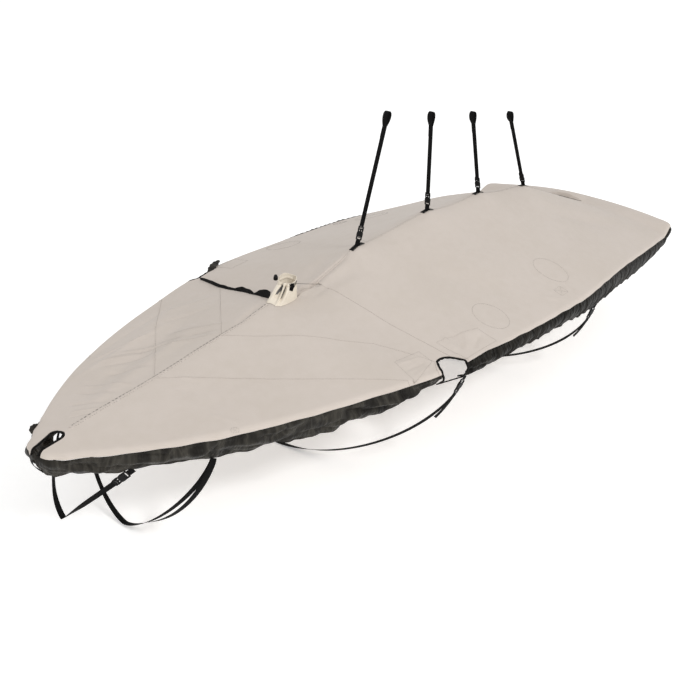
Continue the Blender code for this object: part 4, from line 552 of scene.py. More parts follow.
def reach(s, side):
    """Arc length from the start of the roll to the seam between canvas and skirt."""
    slope = rim(s, side)[2]
    share = hermite(plan(s)[0][..., 0], SKIRT_X, REACH_PORT if side > 0 else REACH_STARBOARD)
    swing, pitch, seed = SEAM_UNREST
    uneven = swing * swell(s, 0.3 * side, pitch, seed) * ease(share / 0.4)
    tip = BOW_TIP * np.exp(-((s - BOW_TIP_GIRTH) / BOW_TIP_HALF) ** 2) if side < 0 else 0.0
    return (share + uneven + tip) * ROLL_RADIUS * (math.pi / 2 - slope)


def hem(s, side):
    """Arc length from the start of the roll to the hem."""
    slope = rim(s, side)[2]
    depth = hermite(plan(s)[0][..., 0], SKIRT_X, HEM_DEPTH)
    return ROLL_RADIUS * (math.pi / 2 - slope) + depth - ROLL_RADIUS * np.cos(slope)


def over_edge(s, q, side, swing=None):
    """Point q metres past the start of the roll: a quarter round, then the hanging skirt.

    To the plain drop are added a bulge, the tuck of the hem, gathers aft, drapes forward and the
    lobes round the bow, each a sine or a bell of the girth and of the way down.  swing gives the
    skirt's own fine folds: a function of s, of the share of the way down to the hem and of how far
    the skirt is gathered there, in metres outwards.
    """
    point, outward = plan(s)
    start, _, slope, height = rim(s, side)
    arc = ROLL_RADIUS * (math.pi / 2 - slope)
    turn = slope + np.minimum(q, arc) / ROLL_RADIUS
    out = -ROLL_RADIUS * (1 - np.sin(turn))
    down = height - ROLL_RADIUS * (np.cos(slope) - np.cos(turn))
    drop = np.maximum(q - arc, 0.0)
    share = np.clip(drop / np.maximum(hem(s, side) - arc, 0.01), 0.0, 1.0)
    gathered = ease((GATHER_FROM - point[..., 0]) / GATHER_RUN)
    wander = WANDER_SWING * np.sin(TAU * s / WANDER_PITCH)
    gather = GATHER_SWING * np.sin(TAU * s / GATHER_PITCH + wander) * share
    drape = DRAPE_SWING * np.sin(TAU * (s / DRAPE_PITCH + DRAPE_SLANT * share) + side)
    drape = drape * np.sin(math.pi * share) * ease(s / DRAPE_FROM)
    bulge = SKIRT_BULGE * np.sin(math.pi * share ** BULGE_POWER)
    out = out + bulge - HEM_TUCK * share ** 2 + gathered * gather + (1 - gathered) * drape
    lobes = sum(height * np.exp(-((s - at) / half) ** 2) for at, half, height in BOW_LOBES[side])
    way = np.clip(q / np.maximum(hem(s, side), 0.01), 0.0, 1.0)
    out = out + lobes * np.sin(math.pi * way) ** LOBE_POWER
    if swing is not None:
        out = out + swing(s, share, gathered)
    where = point + out[..., None] * outward
    return np.stack([where[..., 0], side * where[..., 1], down - drop], axis=-1)


def grid_normals(points):
    """Unit normals of a grid of points: the cross product of its two runs, turned upwards or out."""
    run = np.cross(np.gradient(points, axis=0), np.gradient(points, axis=1))
    length = np.linalg.norm(run, axis=-1, keepdims=True)
    normal = run / np.maximum(length, 1e-12)
    outward = points * np.array([0.2, 1.0, 0.0]) + np.array([0.0, 0.0, 1.0])
    return normal * (1 if np.mean(np.sum(normal * outward, axis=-1)) > 0 else -1)


# ================================================================ panel grids
def centre_gap(x, side):
    """Half width of what is open on the centreline: the bow slot, the mast hole or a seam."""
    half = np.full(np.shape(x), SEWN_GAP / 2)
    mast = 1 - ((np.asarray(x) - MAST_HOLE_CENTRE) / MAST_HOLE_HALF_LENGTH) ** 2
    half = np.where(mast > 0, np.maximum(MAST_HOLE_HALF_WIDTH * np.sqrt(np.maximum(mast, 0)), half), half)
    turn = np.clip((SLOT_END + SLOT_TURN - np.asarray(x)) / SLOT_TURN, 0.0, 1.0)
    width = SLOT_HALF["port" if side > 0 else "starboard"] * np.sqrt(1 - turn ** 2)
    return np.where(np.asarray(x) > SLOT_END, np.maximum(width, half), half)


def spaced(stops, counts):
    """Stations that pass every stop, with the given number of steps between stops."""
    runs = [np.linspace(a, b, n, endpoint=False) for a, b, n in zip(stops[:-1], stops[1:], counts)]
    return np.concatenate(runs + [stops[-1:]])


def finer(stations, steps):
    """The same stations with more of them in between."""
    count = (len(stations) - 1) * steps + 1
    return np.interp(np.linspace(0, len(stations) - 1, count), np.arange(len(stations)), stations)


SHARE = spaced(ROW_SHARE, ROW_STEPS)


def through(shares, points, upto=1.0):
    """A column of plan points that passes the given points at the given shares of the way."""
    points = np.asarray(points, float)
    at = SHARE[SHARE <= upto + 1e-9]
    return read_at(at, shares, points)


def edge_point(s, side):
    """Plan point at which the canvas starts its roll."""
    return rim(np.asarray(s, float), side)[0]


def seam(table, edge_x, side, stops=(), bend=(), shift=0.0, upto=1.0):
    """Plan points of a seam from the ridge through its knee and any stops to the gunwale."""
    ridge_x, knee_x, knee_y = table
    start = (ridge_x + shift, float(centre_gap(ridge_x + shift, side)))
    end = edge_point(girth_at(edge_x + shift), side)
    moved = [(x + shift, y) for x, y in (*bend, (knee_x, knee_y), *stops)]
    shares = (0.0, *(BEND_SHARE,) * len(bend), KNEE_SHARE, *STOP_SHARES.get(len(stops), ()), 1.0)
    return through(shares, (start, *moved, end), upto)


def panel_grid(side, ridge_x, edge, fore, aft, hold=1.0, roll=True, by_ridge=False):
    """Points of a canvas panel between two seams, as columns from the ridge to its edge.

    Straight columns run from the ridge to the edge; the seams' own bends are added to them and
    fade with the power hold away from each seam.  Heights are those of the canvas; past the
    gunwale each column goes on round the roll, down to the skirt.  With by_ridge the bends fade by
    the way along the ridge, and a column starts where it crosses the mast hole's edge.
    """
    share = SHARE[:len(fore)] / SHARE[len(fore) - 1]
    start = np.stack([ridge_x, centre_gap(ridge_x, side)], axis=1)
    end = edge_point(edge, side) if roll else np.array(edge, float)
    start[0], start[-1] = fore[0], aft[0]
    end[0], end[-1] = fore[-1], aft[-1]
    way = share[None, :, None]
    if by_ridge:
        begin = (start[:, 1] / end[:, 1])[:, None, None]
        start[:, 1] = 0.0
        way = begin + (1 - begin) * way
    flat = start[:, None] + (end - start)[:, None] * way
    part_way = np.linspace(0.0, 1.0, len(ridge_x))
    if by_ridge:
        part_way = (ridge_x - ridge_x[0]) / (ridge_x[-1] - ridge_x[0])
    part_way = part_way[:, None, None]
    flat = flat + (fore - flat[0]) * (1 - part_way) ** hold + (aft - flat[-1]) * part_way ** hold
    x, y = flat[..., 0], side * flat[..., 1]
    points = np.stack([x, y, skin(x, y)], axis=-1)
    if not roll:
        return points
    girth = np.repeat(np.asarray(edge, float)[:, None], ROLL_STEPS, axis=1)
    way = np.arange(1, ROLL_STEPS + 1) / ROLL_STEPS
    over = over_edge(girth, reach(girth, side) * way, side)
    rise = relief(x[:, -1:], y[:, -1:]) * (1 - way)
    return np.concatenate([points, over + rise[..., None] * np.array([0.0, 0.0, 1.0])], axis=1)


def mast_hole_stations(fore, aft):
    """Ridge stations round the mast hole, closer together at its two ends."""
    turn = np.arccos(np.clip((np.array([fore, aft]) - MAST_HOLE_CENTRE) / MAST_HOLE_HALF_LENGTH, -1, 1))
    steps = max(2, int(round(abs(turn[1] - turn[0]) / HOLE_STEP))) * 4
    around = np.linspace(turn[0], turn[1], steps + 1)
    return MAST_HOLE_CENTRE + MAST_HOLE_HALF_LENGTH * np.cos(around)


def slot_girth(side):
    """Girth at which the gunwale's rim is as far out as the slot's edge at its mouth."""
    near = np.linspace(0.0, 0.12, 241)
    out = edge_point(near, side)[:, 1]
    return float(np.interp(SLOT_MOUTH["port" if side > 0 else "starboard"], out, near))


def slot_stations(steps=SLOT_STEPS):
    """Ridge stations round the closed end of the bow slot, from its side to its middle."""
    return SLOT_END + SLOT_TURN * (1 - np.sin(np.linspace(0, math.pi / 2, steps)))


def slot_edge(side):
    """Plan points of the straight side of the slot, from its closed end to the gunwale."""
    start = (SLOT_END + SLOT_TURN, float(centre_gap(SLOT_END + SLOT_TURN, side)))
    return through((0.0, 1.0), (start, edge_point(slot_girth(side), side)))


def transom_girths(count):
    """Girths of the columns across the transom, from the quarter to the middle."""
    return np.linspace(girth_at(QUARTER_FROM) + QUARTER_END, GIRTH, count)


def cutout_inner(word, count):
    """Plan points from a cutout's fore corner to its aft corner, bowed towards the centreline."""
    share = np.linspace(0, 1, count)[:, None]
    cutout = CUTOUTS[word]
    line = np.array(cutout[1]) * (1 - share) + np.array(cutout[2]) * share
    return line - CUTOUT_BOW_WAY * CUTOUT_BOWS[word] * 4 * share * (1 - share)


def bow_grid(word, side, steps=14):
    """Bow panel: columns fan round the slot's closed end, then run even to the first seam."""
    nose = slot_girth(side) + NOSE_GIRTHS
    last = float(girth_at(SEAM_B_EDGE[word]))
    edge = np.concatenate([nose, np.linspace(nose[-1] + BOW_LEAD, last, BOW_COLUMNS)])
    ridge_x = np.interp(edge, [nose[SLOT_STEPS - 1], last], [SLOT_END, SEAM_B[word][0]])
    ridge_x[:SLOT_STEPS] = slot_stations()
    ridge_x = finer(ridge_x, steps)
    ridge_x[:(SLOT_STEPS - 1) * steps + 1] = slot_stations((SLOT_STEPS - 1) * steps + 1)
    aft = seam(SEAM_B[word], SEAM_B_EDGE[word], side)
    return panel_grid(side, ridge_x, finer(edge, steps), slot_edge(side), aft, hold=BOW_HOLD)


def fore_grid(word, side, steps=12):
    """Foredeck panel: even columns between the first seam and the second."""
    table, cutout = SEAM_C[word], CUTOUTS[word]
    count = (FORE_COLUMNS - 1) * steps + 1
    ridge_x = np.linspace(SEAM_B[word][0] - SEAM_SHIFT, table[0], count)
    edge = np.linspace(girth_at(SEAM_B_EDGE[word] - SEAM_SHIFT), girth_at(cutout[0]), count)
    fore = seam(SEAM_B[word], SEAM_B_EDGE[word], side, shift=-SEAM_SHIFT)
    aft = seam(table, cutout[0], side, [cutout[1]])
    return panel_grid(side, ridge_x, edge, fore, aft)


def mast_grid_port(steps=14):
    """Port mast panel: columns from the ridge and the mast hole's edge to the cutout's inner edge."""
    hole_fore = MAST_HOLE_CENTRE + MAST_HOLE_HALF_LENGTH
    hole_aft = MAST_HOLE_CENTRE - MAST_HOLE_HALF_LENGTH
    table, cutout = SEAM_C["port"], CUTOUTS["port"]
    lead = np.array([table[0] - SEAM_SHIFT, hole_fore + HOLE_LEAD_FORE])
    ridge_x = np.concatenate([
        spaced(lead, [MAST_LEAD_STEPS * steps]), mast_hole_stations(hole_fore, hole_aft),
        np.linspace(hole_aft - HOLE_LEAD_AFT, SEAM_D[0] + SEAM_SHIFT, MAST_LEAD_STEPS * steps)])
    fore = seam(table, cutout[0], PORT, [cutout[1]], shift=-SEAM_SHIFT, upto=RIM_SHARE)
    aft = seam(SEAM_D, cutout[3], PORT, [cutout[2]], shift=SEAM_SHIFT, upto=RIM_SHARE)
    ends = cutout_inner("port", len(ridge_x))
    return panel_grid(PORT, ridge_x, ends, fore, aft, roll=False, by_ridge=True)


def mast_grid_starboard(steps=8):
    """Triangle between seam c and the closure, which meet at the closure's knee."""
    hole_fore = MAST_HOLE_CENTRE + MAST_HOLE_HALF_LENGTH
    seam_x = SEAM_C["starboard"][0] - SEAM_SHIFT
    ridge_x = np.concatenate([
        spaced(np.array([seam_x, hole_fore + HOLE_LEAD_FORE]), [MAST_LEAD_STEPS * steps]),
        mast_hole_stations(hole_fore, CLOSURE[0] + SEAM_SHIFT)])
    fore_start = np.array((seam_x, float(centre_gap(seam_x, STARBOARD))))
    fore_knee = np.array((CLOSURE[1] - SEAM_SHIFT, CLOSURE[2]))
    fore_end = fore_start + (fore_knee - fore_start) * POINT_SHARE
    fore = through((0.0, KNEE_SHARE), (fore_start, fore_end), KNEE_SHARE)
    shifted = np.array((SEAM_SHIFT, 0.0))
    bend, knee = np.array(CLOSURE_BEND) + shifted, np.array(CLOSURE[1:]) + shifted
    aft_x = CLOSURE[0] + SEAM_SHIFT
    aft_start = (aft_x, float(centre_gap(aft_x, STARBOARD)))
    aft = through((0.0, BEND_SHARE, KNEE_SHARE),
                  (aft_start, bend, bend + (knee - bend) * POINT_SHARE), KNEE_SHARE)
    share = np.linspace(0, 1, len(ridge_x))[:, None]
    ends = fore[-1] * (1 - share) + aft[-1] * share
    return panel_grid(STARBOARD, ridge_x, ends, fore, aft, roll=False)


def aft_grid(word, side, steps=7):
    """Aft panel: columns pass the feet of the lifts, then fan round the quarter and the transom."""
    cutout = CUTOUTS[word]
    if side > 0:
        table, stops, bend = SEAM_D, [cutout[2]], []
    else:
        table, stops, bend = CLOSURE, [cutout[1], cutout[2]], [CLOSURE_BEND]
    fore = seam(table, cutout[3], side, stops, bend, -SEAM_SHIFT)
    lead_from, hole = table[0] - SEAM_SHIFT, []
    if side < 0:
        hole_aft = MAST_HOLE_CENTRE - MAST_HOLE_HALF_LENGTH
        hole = mast_hole_stations(lead_from, hole_aft)
        lead_from = hole_aft - HOLE_LEAD_AFT
    lead_steps = [AFT_LEAD_STEPS[word] * steps]
    lead = np.concatenate([hole, spaced(np.array([lead_from, LIFT_FEET[0]]), lead_steps)[:-1]])
    stops = np.concatenate([LIFT_FEET, [QUARTER_FROM]])
    body = spaced(stops, [count * steps for count in BETWEEN_LIFTS])
    lead_girths = [girth_at(cutout[3] - SEAM_SHIFT), girth_at(LIFT_FEET[0])]
    edge_lead = np.linspace(*lead_girths, len(lead) + 1)[:-1]
    fan = np.concatenate([[0.0], QUARTER_GIRTHS])
    edge_fan = finer(np.concatenate([girth_at(QUARTER_FROM) + fan, transom_girths(TRANSOM_COLUMNS)]),
                     steps)[1:]
    edge_fan[-1] -= SEWN_GAP / 2
    fan_to = QUARTER_FROM - FAN_LENGTH
    ridge_fan = np.linspace(QUARTER_FROM, fan_to, len(edge_fan) + 1)[1:]
    ridge_x = np.concatenate([lead, body, ridge_fan])
    edge = np.concatenate([edge_lead, girth_at(body), edge_fan])
    centre = SEWN_GAP / 2
    last = (edge_point(GIRTH, side)[0], centre)
    aft = through((0.0, 1.0), ((fan_to, centre), last))
    return panel_grid(side, ridge_x, edge, fore, aft, hold=AFT_HOLD)


def waves(s, rows):
    """Sum of sines along the girth, each with its size, pitch and phase."""
    return sum(size * np.sin(TAU * s / pitch + phase) for size, pitch, phase in rows)


def skirt_swing(s, share, gathered):
    """Fine folds of the skirt: tight puckers where the elastic gathers it, long soft drapes forward.

    A pucker is a sine of the girth whose phase wanders and slants, grown towards the hem, and above
    it the cloth puffs by a half sine.  A drape is the size of an even unrest, less its mean.
    """
    wander = waves(s, PUCKER_WANDER)
    pucker = np.sin(TAU * s / PUCKER_PITCH + PUCKER_SWAY * wander + PUCKER_SLANT * share)
    tight = np.sin(TAU * s / FINE_PUCKER_PITCH + FINE_PUCKER_SWAY * wander)
    patchy = PATCHY + PATCHY_SWING * swell(s, PATCHY_SLANT * share, PATCHY_PITCH, PATCHY_SEED)
    aft = (PUCKER_SWING * pucker + FINE_PUCKER_SWING * tight * share) * ease(share / PUCKER_RUN)
    aft = aft * np.clip(patchy, *PATCHY_LIMITS) * (1 - CALM_SHARE * ease((s - CALM_FROM) / CALM_RUN))
    aft = aft + PUFF_SWING * np.sin(math.pi * np.minimum(share / PUFF_SHARE, 1.0)) ** PUFF_POWER
    fore = sum(swing * (np.abs(swell(s + slant * share, down * share, pitch, seed)) - DRAPE_LEVEL)
               for swing, slant, down, pitch, seed in DRAPES)
    ripple = RIPPLE_SWING * swell(s, RIPPLE_SLANT * share, RIPPLE_PITCH, RIPPLE_SEED)
    fore = fore * ease(share / DRAPE_RUN) + ripple * share ** RIPPLE_POWER
    return (gathered * aft + (1 - gathered) * fore) * np.minimum(share / SEAM_HOLD, 1.0)


# ================================================================ meshes
def quads(rows, columns, close=False):
    """Corner numbers of the quads of a grid; close joins the last column to the first."""
    index = np.arange(rows * columns).reshape(rows, columns)
    if close:
        index = np.concatenate([index, index[:, :1]], axis=1)
    corners = (index[:-1, :-1], index[1:, :-1], index[1:, 1:], index[:-1, 1:])
    return np.stack(corners, axis=-1).reshape(-1, 4)


def shell(outer, thick, chart=None):
    """Closed sheet: a grid of outer points, the same grid moved inwards, and a wall round both."""
    rows, columns = outer.shape[:2]
    inner = outer - grid_normals(outer) * np.broadcast_to(thick, (rows, columns))[..., None]
    index = np.arange(rows * columns).reshape(rows, columns)
    ring = np.concatenate([index[:, 0], index[-1, 1:], index[-2::-1, -1], index[0, -2:0:-1]])
    after, size = np.roll(ring, -1), rows * columns
    faces = quads(rows, columns)
    wall = np.stack([after, ring, ring + size, after + size], axis=1)
    points = np.concatenate([outer.reshape(-1, 3), inner.reshape(-1, 3)])
    flat = np.zeros((size, 2)) if chart is None else chart.reshape(-1, 2)
    return points, [faces, faces[:, ::-1] + size, wall], np.concatenate([flat, flat])


def sweep(path, face, profile, loop=False, swell_by=None):
    """Profile carried along a path: each point is path + across * p + face * q of the profile.

    face is the normal of the band's flat side; both ends are closed unless the path is a loop.
    """
    path = np.asarray(path, float)
    if loop:
        along = unit(np.roll(path, -1, axis=0) - np.roll(path, 1, axis=0))
    else:
        along = unit(np.gradient(path, axis=0))
    face = np.broadcast_to(np.asarray(face, float), path.shape)
    face = unit(face - np.sum(face * along, axis=1, keepdims=True) * along)
    across = np.cross(along, face)
    profile = np.broadcast_to(profile, (len(path), *np.shape(profile)[-2:]))
    if swell_by is not None:
        profile = profile * swell_by[:, None, None]
    points = (path[:, None] + across[:, None] * profile[..., :1] + face[:, None] * profile[..., 1:])
    count, size = points.shape[:2]
    chart = np.stack([np.broadcast_to(run_along(path)[:, None], (count, size)), profile[..., 0]], axis=-1)
    faces = quads(count, size, close=True)
    if loop:
        points_faces = [faces, joint(count, size)]
    else:
        ends = np.arange(size)
        points_faces = [faces, ends[None], (ends + (count - 1) * size)[None, ::-1]]
    return points.reshape(-1, 3), points_faces, chart.reshape(-1, 2)


def joint(count, size):
    """Quads that join the last ring of a loop to its first."""
    last, first = (count - 1) * size + np.arange(size), np.arange(size)
    return np.stack([last, first, np.roll(first, -1), np.roll(last, -1)], axis=1)


def flat_oval(width, thick, points=12, power=0.35):
    """Section of a woven band: an ellipse whose cosine and sine are raised to a low power."""
    turn = np.linspace(0, TAU, points, endpoint=False) + math.pi / points
    across, up = np.cos(turn), np.sin(turn)
    return np.stack([np.sign(across) * np.abs(across) ** power * width / 2,
                     np.sign(up) * np.abs(up) ** (power + 0.25) * thick / 2], axis=-1)


def turned(profile_r, profile_z, sides=24):
    """Surface of revolution: rings of the radii r at the heights z, with both ends closed."""
    turn = np.linspace(0, TAU, sides, endpoint=False)
    ring = np.stack([np.cos(turn), np.sin(turn)], axis=-1)
    flat = np.asarray(profile_r)[:, None, None] * ring
    points = np.concatenate([flat, np.broadcast_to(np.asarray(profile_z)[:, None, None],
                                                   (*flat.shape[:2], 1))], axis=-1)
    count = len(profile_r)
    ends = np.arange(sides)
    faces = [quads(count, sides, close=True), ends[None, :], (ends + (count - 1) * sides)[None, ::-1]]
    return points.reshape(-1, 3), faces, points.reshape(-1, 3)[:, :2]


def outward(points, faces):
    """Turns every face round if the shell's signed volume, a sum of tetrahedra, is negative."""
    total = 0.0
    for group in faces:
        corner = points[group[:, 0]]
        for k in range(1, group.shape[1] - 1):
            total += np.sum(corner * np.cross(points[group[:, k]], points[group[:, k + 1]]))
    return faces if total > 0 else [group[:, ::-1] for group in faces]


def piece(name, parts, finish, replaces=(), sharp=40.0):
    """Object from closed parts, each a set of points, faces and chart, joined into one mesh."""
    points, faces, chart, start = [], [], [], 0
    for part_points, part_faces, part_chart in parts:
        for group in outward(part_points, part_faces):
            faces.extend((group + start).tolist())
        points.append(part_points)
        chart.append(part_chart)
        start += len(part_points)
    mesh = bpy.data.meshes.new(f"cover_{name}")
    mesh.from_pydata(np.concatenate(points).tolist(), [], faces)
    layer = mesh.uv_layers.new(name="chart")
    corner = np.empty(len(mesh.loops), dtype=np.int64)
    mesh.loops.foreach_get("vertex_index", corner)
    layer.data.foreach_set("uv", np.concatenate(chart)[corner].astype(np.float32).ravel())
    mesh.shade_smooth()
    mesh.set_sharp_from_angle(angle=math.radians(sharp))
    mesh.materials.append(material(f"cover_{finish}"))
    mesh.validate()
    mesh.update()
    made = bpy.data.objects.new(f"cover_{name}", mesh)
    bpy.context.scene.collection.objects.link(made)
    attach(made, "root")
    if replaces:
        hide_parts(*replaces)
    return made


def resample(path, pitch, extra=None):
    """Points of a path at an even pitch, and another row of vectors taken along with it."""
    run = run_along(path)
    at = np.linspace(0, run[-1], max(2, int(round(run[-1] / pitch)) + 1))
    even_path = read_at(at, run, path)
    return even_path if extra is None else (even_path, unit(read_at(at, run, extra)))


# Corners of one stitch, as shares of its length, width and height, and the faces between them.
STITCH_POINTS = np.array([
    (-0.5, 0, -0.6), (-0.3, -0.5, 0), (-0.3, 0, 1.0), (-0.3, 0.5, 0), (-0.3, 0, -0.8),
    (0.3, -0.5, 0), (0.3, 0, 1.0), (0.3, 0.5, 0), (0.3, 0, -0.8), (0.5, 0, -0.6)])
STITCH_QUADS = np.array([(1, 5, 6, 2), (2, 6, 7, 3), (3, 7, 8, 4), (4, 8, 5, 1)])
STITCH_ENDS = np.array([(0, 1, 2), (0, 2, 3), (0, 3, 4), (0, 4, 1),
                        (9, 6, 5), (9, 7, 6), (9, 8, 7), (9, 5, 8)])


def stitches(path, normal, length=0.0036, width=0.0011, height=0.0006, pitch=0.0056):
    """Row of stitches along a path: one small closed grain at each even step."""
    centre, up = resample(path, pitch, normal)
    along = unit(np.gradient(centre, axis=0))
    across = np.cross(along, up)
    centre, along, across, up = centre[1:-1], along[1:-1], across[1:-1], up[1:-1]
    if not len(centre):
        raise RuntimeError("a row of stitches is too short for one stitch")
    grain = STITCH_POINTS * np.array([length, width, height])
    points = (centre[:, None] + along[:, None] * grain[None, :, :1]
              + across[:, None] * grain[None, :, 1:2] + up[:, None] * grain[None, :, 2:])
    shift = (np.arange(len(centre)) * len(grain))[:, None, None]
    faces = [(STITCH_QUADS[None] + shift).reshape(-1, 4), (STITCH_ENDS[None] + shift).reshape(-1, 3)]
    return points.reshape(-1, 3), faces, points.reshape(-1, 3)[:, :2]


def on_skin(plan_points, side, lift=0.0, pitch=0.004):
    """Path over the canvas through plan points given on the port side, and its normals."""
    run = np.concatenate([[0.0], np.cumsum(np.hypot(*np.diff(plan_points, axis=0).T))])
    at = np.linspace(0, run[-1], max(3, int(run[-1] / pitch)))
    x, y = read_at(at, run, plan_points).T
    return skin_point(x, side * y, lift)


# ================================================================ finishes
def group(name, inputs, outputs):
    """Empty node group with named sockets; each input is its name, its kind and its default."""
    made = bpy.data.node_groups.new(name, "ShaderNodeTree")
    for label, kind, default in inputs:
        socket = made.interface.new_socket(name=label, in_out="INPUT", socket_type=kind)
        if default is not None:
            socket.default_value = default
    for label, kind in outputs:
        made.interface.new_socket(name=label, in_out="OUTPUT", socket_type=kind)
    return made, made.nodes.new("NodeGroupInput"), made.nodes.new("NodeGroupOutput")


def node(tree, kind, links=(), **values):
    """Node with its properties set; links name an input and what feeds it, a socket or a value."""
    made = tree.nodes.new(kind)
    for key, value in values.items():
        setattr(made, key, value)
    for target, source in links:
        socket = made.inputs[target]
        if isinstance(source, bpy.types.NodeSocket):
            tree.links.new(source, socket)
        else:
            socket.default_value = source
    return made


def math_node(tree, operation, *values):
    """Result of a Math node on up to three sockets or numbers."""
    return node(tree, "ShaderNodeMath", enumerate(values), operation=operation).outputs[0]


def mixed(tree, share, first, second, **values):
    """Colour mixed from two by a share."""
    return node(tree, "ShaderNodeMix", [("Factor", share), (6, first), (7, second)],
                data_type="RGBA", **values).outputs[2]


def sines(tree, chart, pitches):
    """sin(2 pi c / pitch) of each given coordinate c of the chart."""
    parts = node(tree, "ShaderNodeSeparateXYZ", [(0, chart)])
    for k, pitch in pitches:
        turns = math_node(tree, "DIVIDE", TAU, pitch)
        yield math_node(tree, "SINE", math_node(tree, "MULTIPLY", parts.outputs[k], turns))


def weave_group():
    """Plain weave: sin(2 pi u / pitch) * sin(2 pi v / pitch) lifts each crossing in turn."""
    tree, given, result = group("plain_weave", [
        ("Chart", "NodeSocketVector", None), ("Pitch", "NodeSocketFloat", 0.001)],
        [("Height", "NodeSocketFloat"), ("Thread", "NodeSocketFloat")])
    pitch = given.outputs["Pitch"]
    cross = math_node(tree, "MULTIPLY", *sines(tree, given.outputs["Chart"], ((0, pitch), (1, pitch))))
    height = math_node(tree, "MULTIPLY_ADD", cross, 0.5, 0.5)
    tree.links.new(height, result.inputs["Height"])
    thread = math_node(tree, "MULTIPLY_ADD", math_node(tree, "ABSOLUTE", cross), -0.5, 1.0)
    tree.links.new(thread, result.inputs["Thread"])
    return tree


def ageing_group():
    """Weathering: two sizes of noise darken the colour in soft patches and warm it a little."""
    tree, given, result = group("weathering", [
        ("Place", "NodeSocketVector", None), ("Color", "NodeSocketColor", (0.6, 0.55, 0.5, 1)),
        ("Dirt", "NodeSocketColor", (0.3, 0.25, 0.2, 1)), ("Amount", "NodeSocketFloat", 0.1),
        ("Scale", "NodeSocketFloat", 3.0)],
        [("Color", "NodeSocketColor"), ("Mask", "NodeSocketFloat")])
    fine_scale = math_node(tree, "MULTIPLY", given.outputs["Scale"], 9.0)
    broad, fine = [node(tree, "ShaderNodeTexNoise", [
        ("Vector", given.outputs["Place"]), ("Scale", scale), ("Detail", detail)]).outputs["Fac"]
        for scale, detail in ((given.outputs["Scale"], 4.0), (fine_scale, 6.0))]
    both = math_node(tree, "MULTIPLY_ADD", fine, 0.4, math_node(tree, "MULTIPLY", broad, 0.6))
    mask = node(tree, "ShaderNodeMapRange", [
        ("Value", both), ("From Min", 0.35), ("From Max", 0.68)], interpolation_type="SMOOTHSTEP")
    share = math_node(tree, "MULTIPLY", mask.outputs[0], given.outputs["Amount"])
    shade = mixed(tree, share, given.outputs["Color"], given.outputs["Dirt"])
    tree.links.new(shade, result.inputs["Color"])
    tree.links.new(mask.outputs[0], result.inputs["Mask"])
    return tree


def crease_group():
    """Small creases: noise stretched along one way of the chart, folded into ridges and troughs."""
    tree, given, result = group("small_creases", [
        ("Chart", "NodeSocketVector", None), ("Scale", "NodeSocketFloat", 20.0),
        ("Stretch", "NodeSocketVector", (1, 1, 1))], [("Height", "NodeSocketFloat")])
    drawn = node(tree, "ShaderNodeVectorMath", [
        (0, given.outputs["Chart"]), (1, given.outputs["Stretch"])], operation="MULTIPLY")
    noise = node(tree, "ShaderNodeTexNoise", [
        ("Vector", drawn.outputs[0]), ("Scale", given.outputs["Scale"]), ("Detail", 3.0),
        ("Roughness", 0.55), ("Distortion", 0.4)])
    fold = math_node(tree, "ABSOLUTE", math_node(tree, "SUBTRACT", noise.outputs["Fac"], 0.5))
    height = math_node(tree, "MULTIPLY_ADD", fold, -2.0, 1.0)
    tree.links.new(height, result.inputs["Height"])
    return tree


def rib_group():
    """Webbing: |sin| ribs across the band, broken along it by a finer sine for each pick."""
    tree, given, result = group("webbing_ribs", [
        ("Chart", "NodeSocketVector", None), ("Rib", "NodeSocketFloat", 0.0022),
        ("Pick", "NodeSocketFloat", 0.0013)], [("Height", "NodeSocketFloat")])
    rib, pick = sines(tree, given.outputs["Chart"], ((1, given.outputs["Rib"]), (0, given.outputs["Pick"])))
    height = math_node(tree, "MULTIPLY_ADD", pick, 0.25, math_node(tree, "ABSOLUTE", rib))
    tree.links.new(height, result.inputs["Height"])
    return tree


GROUPS = {"plain_weave": weave_group, "weathering": ageing_group, "small_creases": crease_group,
          "webbing_ribs": rib_group}


def effect(tree, name, **values):
    """Shared effect placed in a material with its own values; the group is built only once."""
    made = bpy.data.node_groups.get(name) or GROUPS[name]()
    return node(tree, "ShaderNodeGroup", values.items(), node_tree=made)


def finish(name, colour, dirt, amount, scale, roughness, spread, **fixed):
    """Principled material whose colour and roughness vary by the weathering group."""
    made = bpy.data.materials.new(name)
    made.use_nodes = True
    tree = made.node_tree
    shader = tree.nodes["Principled BSDF"]
    shader.inputs["Metallic"].default_value = 0.0
    for label, value in fixed.items():
        shader.inputs[label.replace("_", " ").title().replace("Ior", "IOR")].default_value = value
    place = node(tree, "ShaderNodeTexCoord").outputs["Object"]
    chart = node(tree, "ShaderNodeUVMap", uv_map="chart").outputs[0]
    age = effect(tree, "weathering", Place=place, Color=(*colour, 1.0), Dirt=(*dirt, 1.0),
                 Amount=amount, Scale=scale)
    tree.links.new(age.outputs["Color"], shader.inputs["Base Color"])
    rough = math_node(tree, "MULTIPLY_ADD", age.outputs["Mask"], spread, roughness)
    tree.links.new(rough, shader.inputs["Roughness"])
    return made, tree, shader, age.outputs["Color"], chart, place


def bump(tree, shader, layers):
    """Bump nodes in a row, each a height, a distance in metres and a strength, into Normal."""
    before = None
    for height, distance, strength in layers:
        made = node(tree, "ShaderNodeBump", [
            ("Height", height), ("Distance", distance), ("Strength", strength)])
        if before is not None:
            tree.links.new(before, made.inputs["Normal"])
        before = made.outputs["Normal"]
    tree.links.new(before, shader.inputs["Normal"])


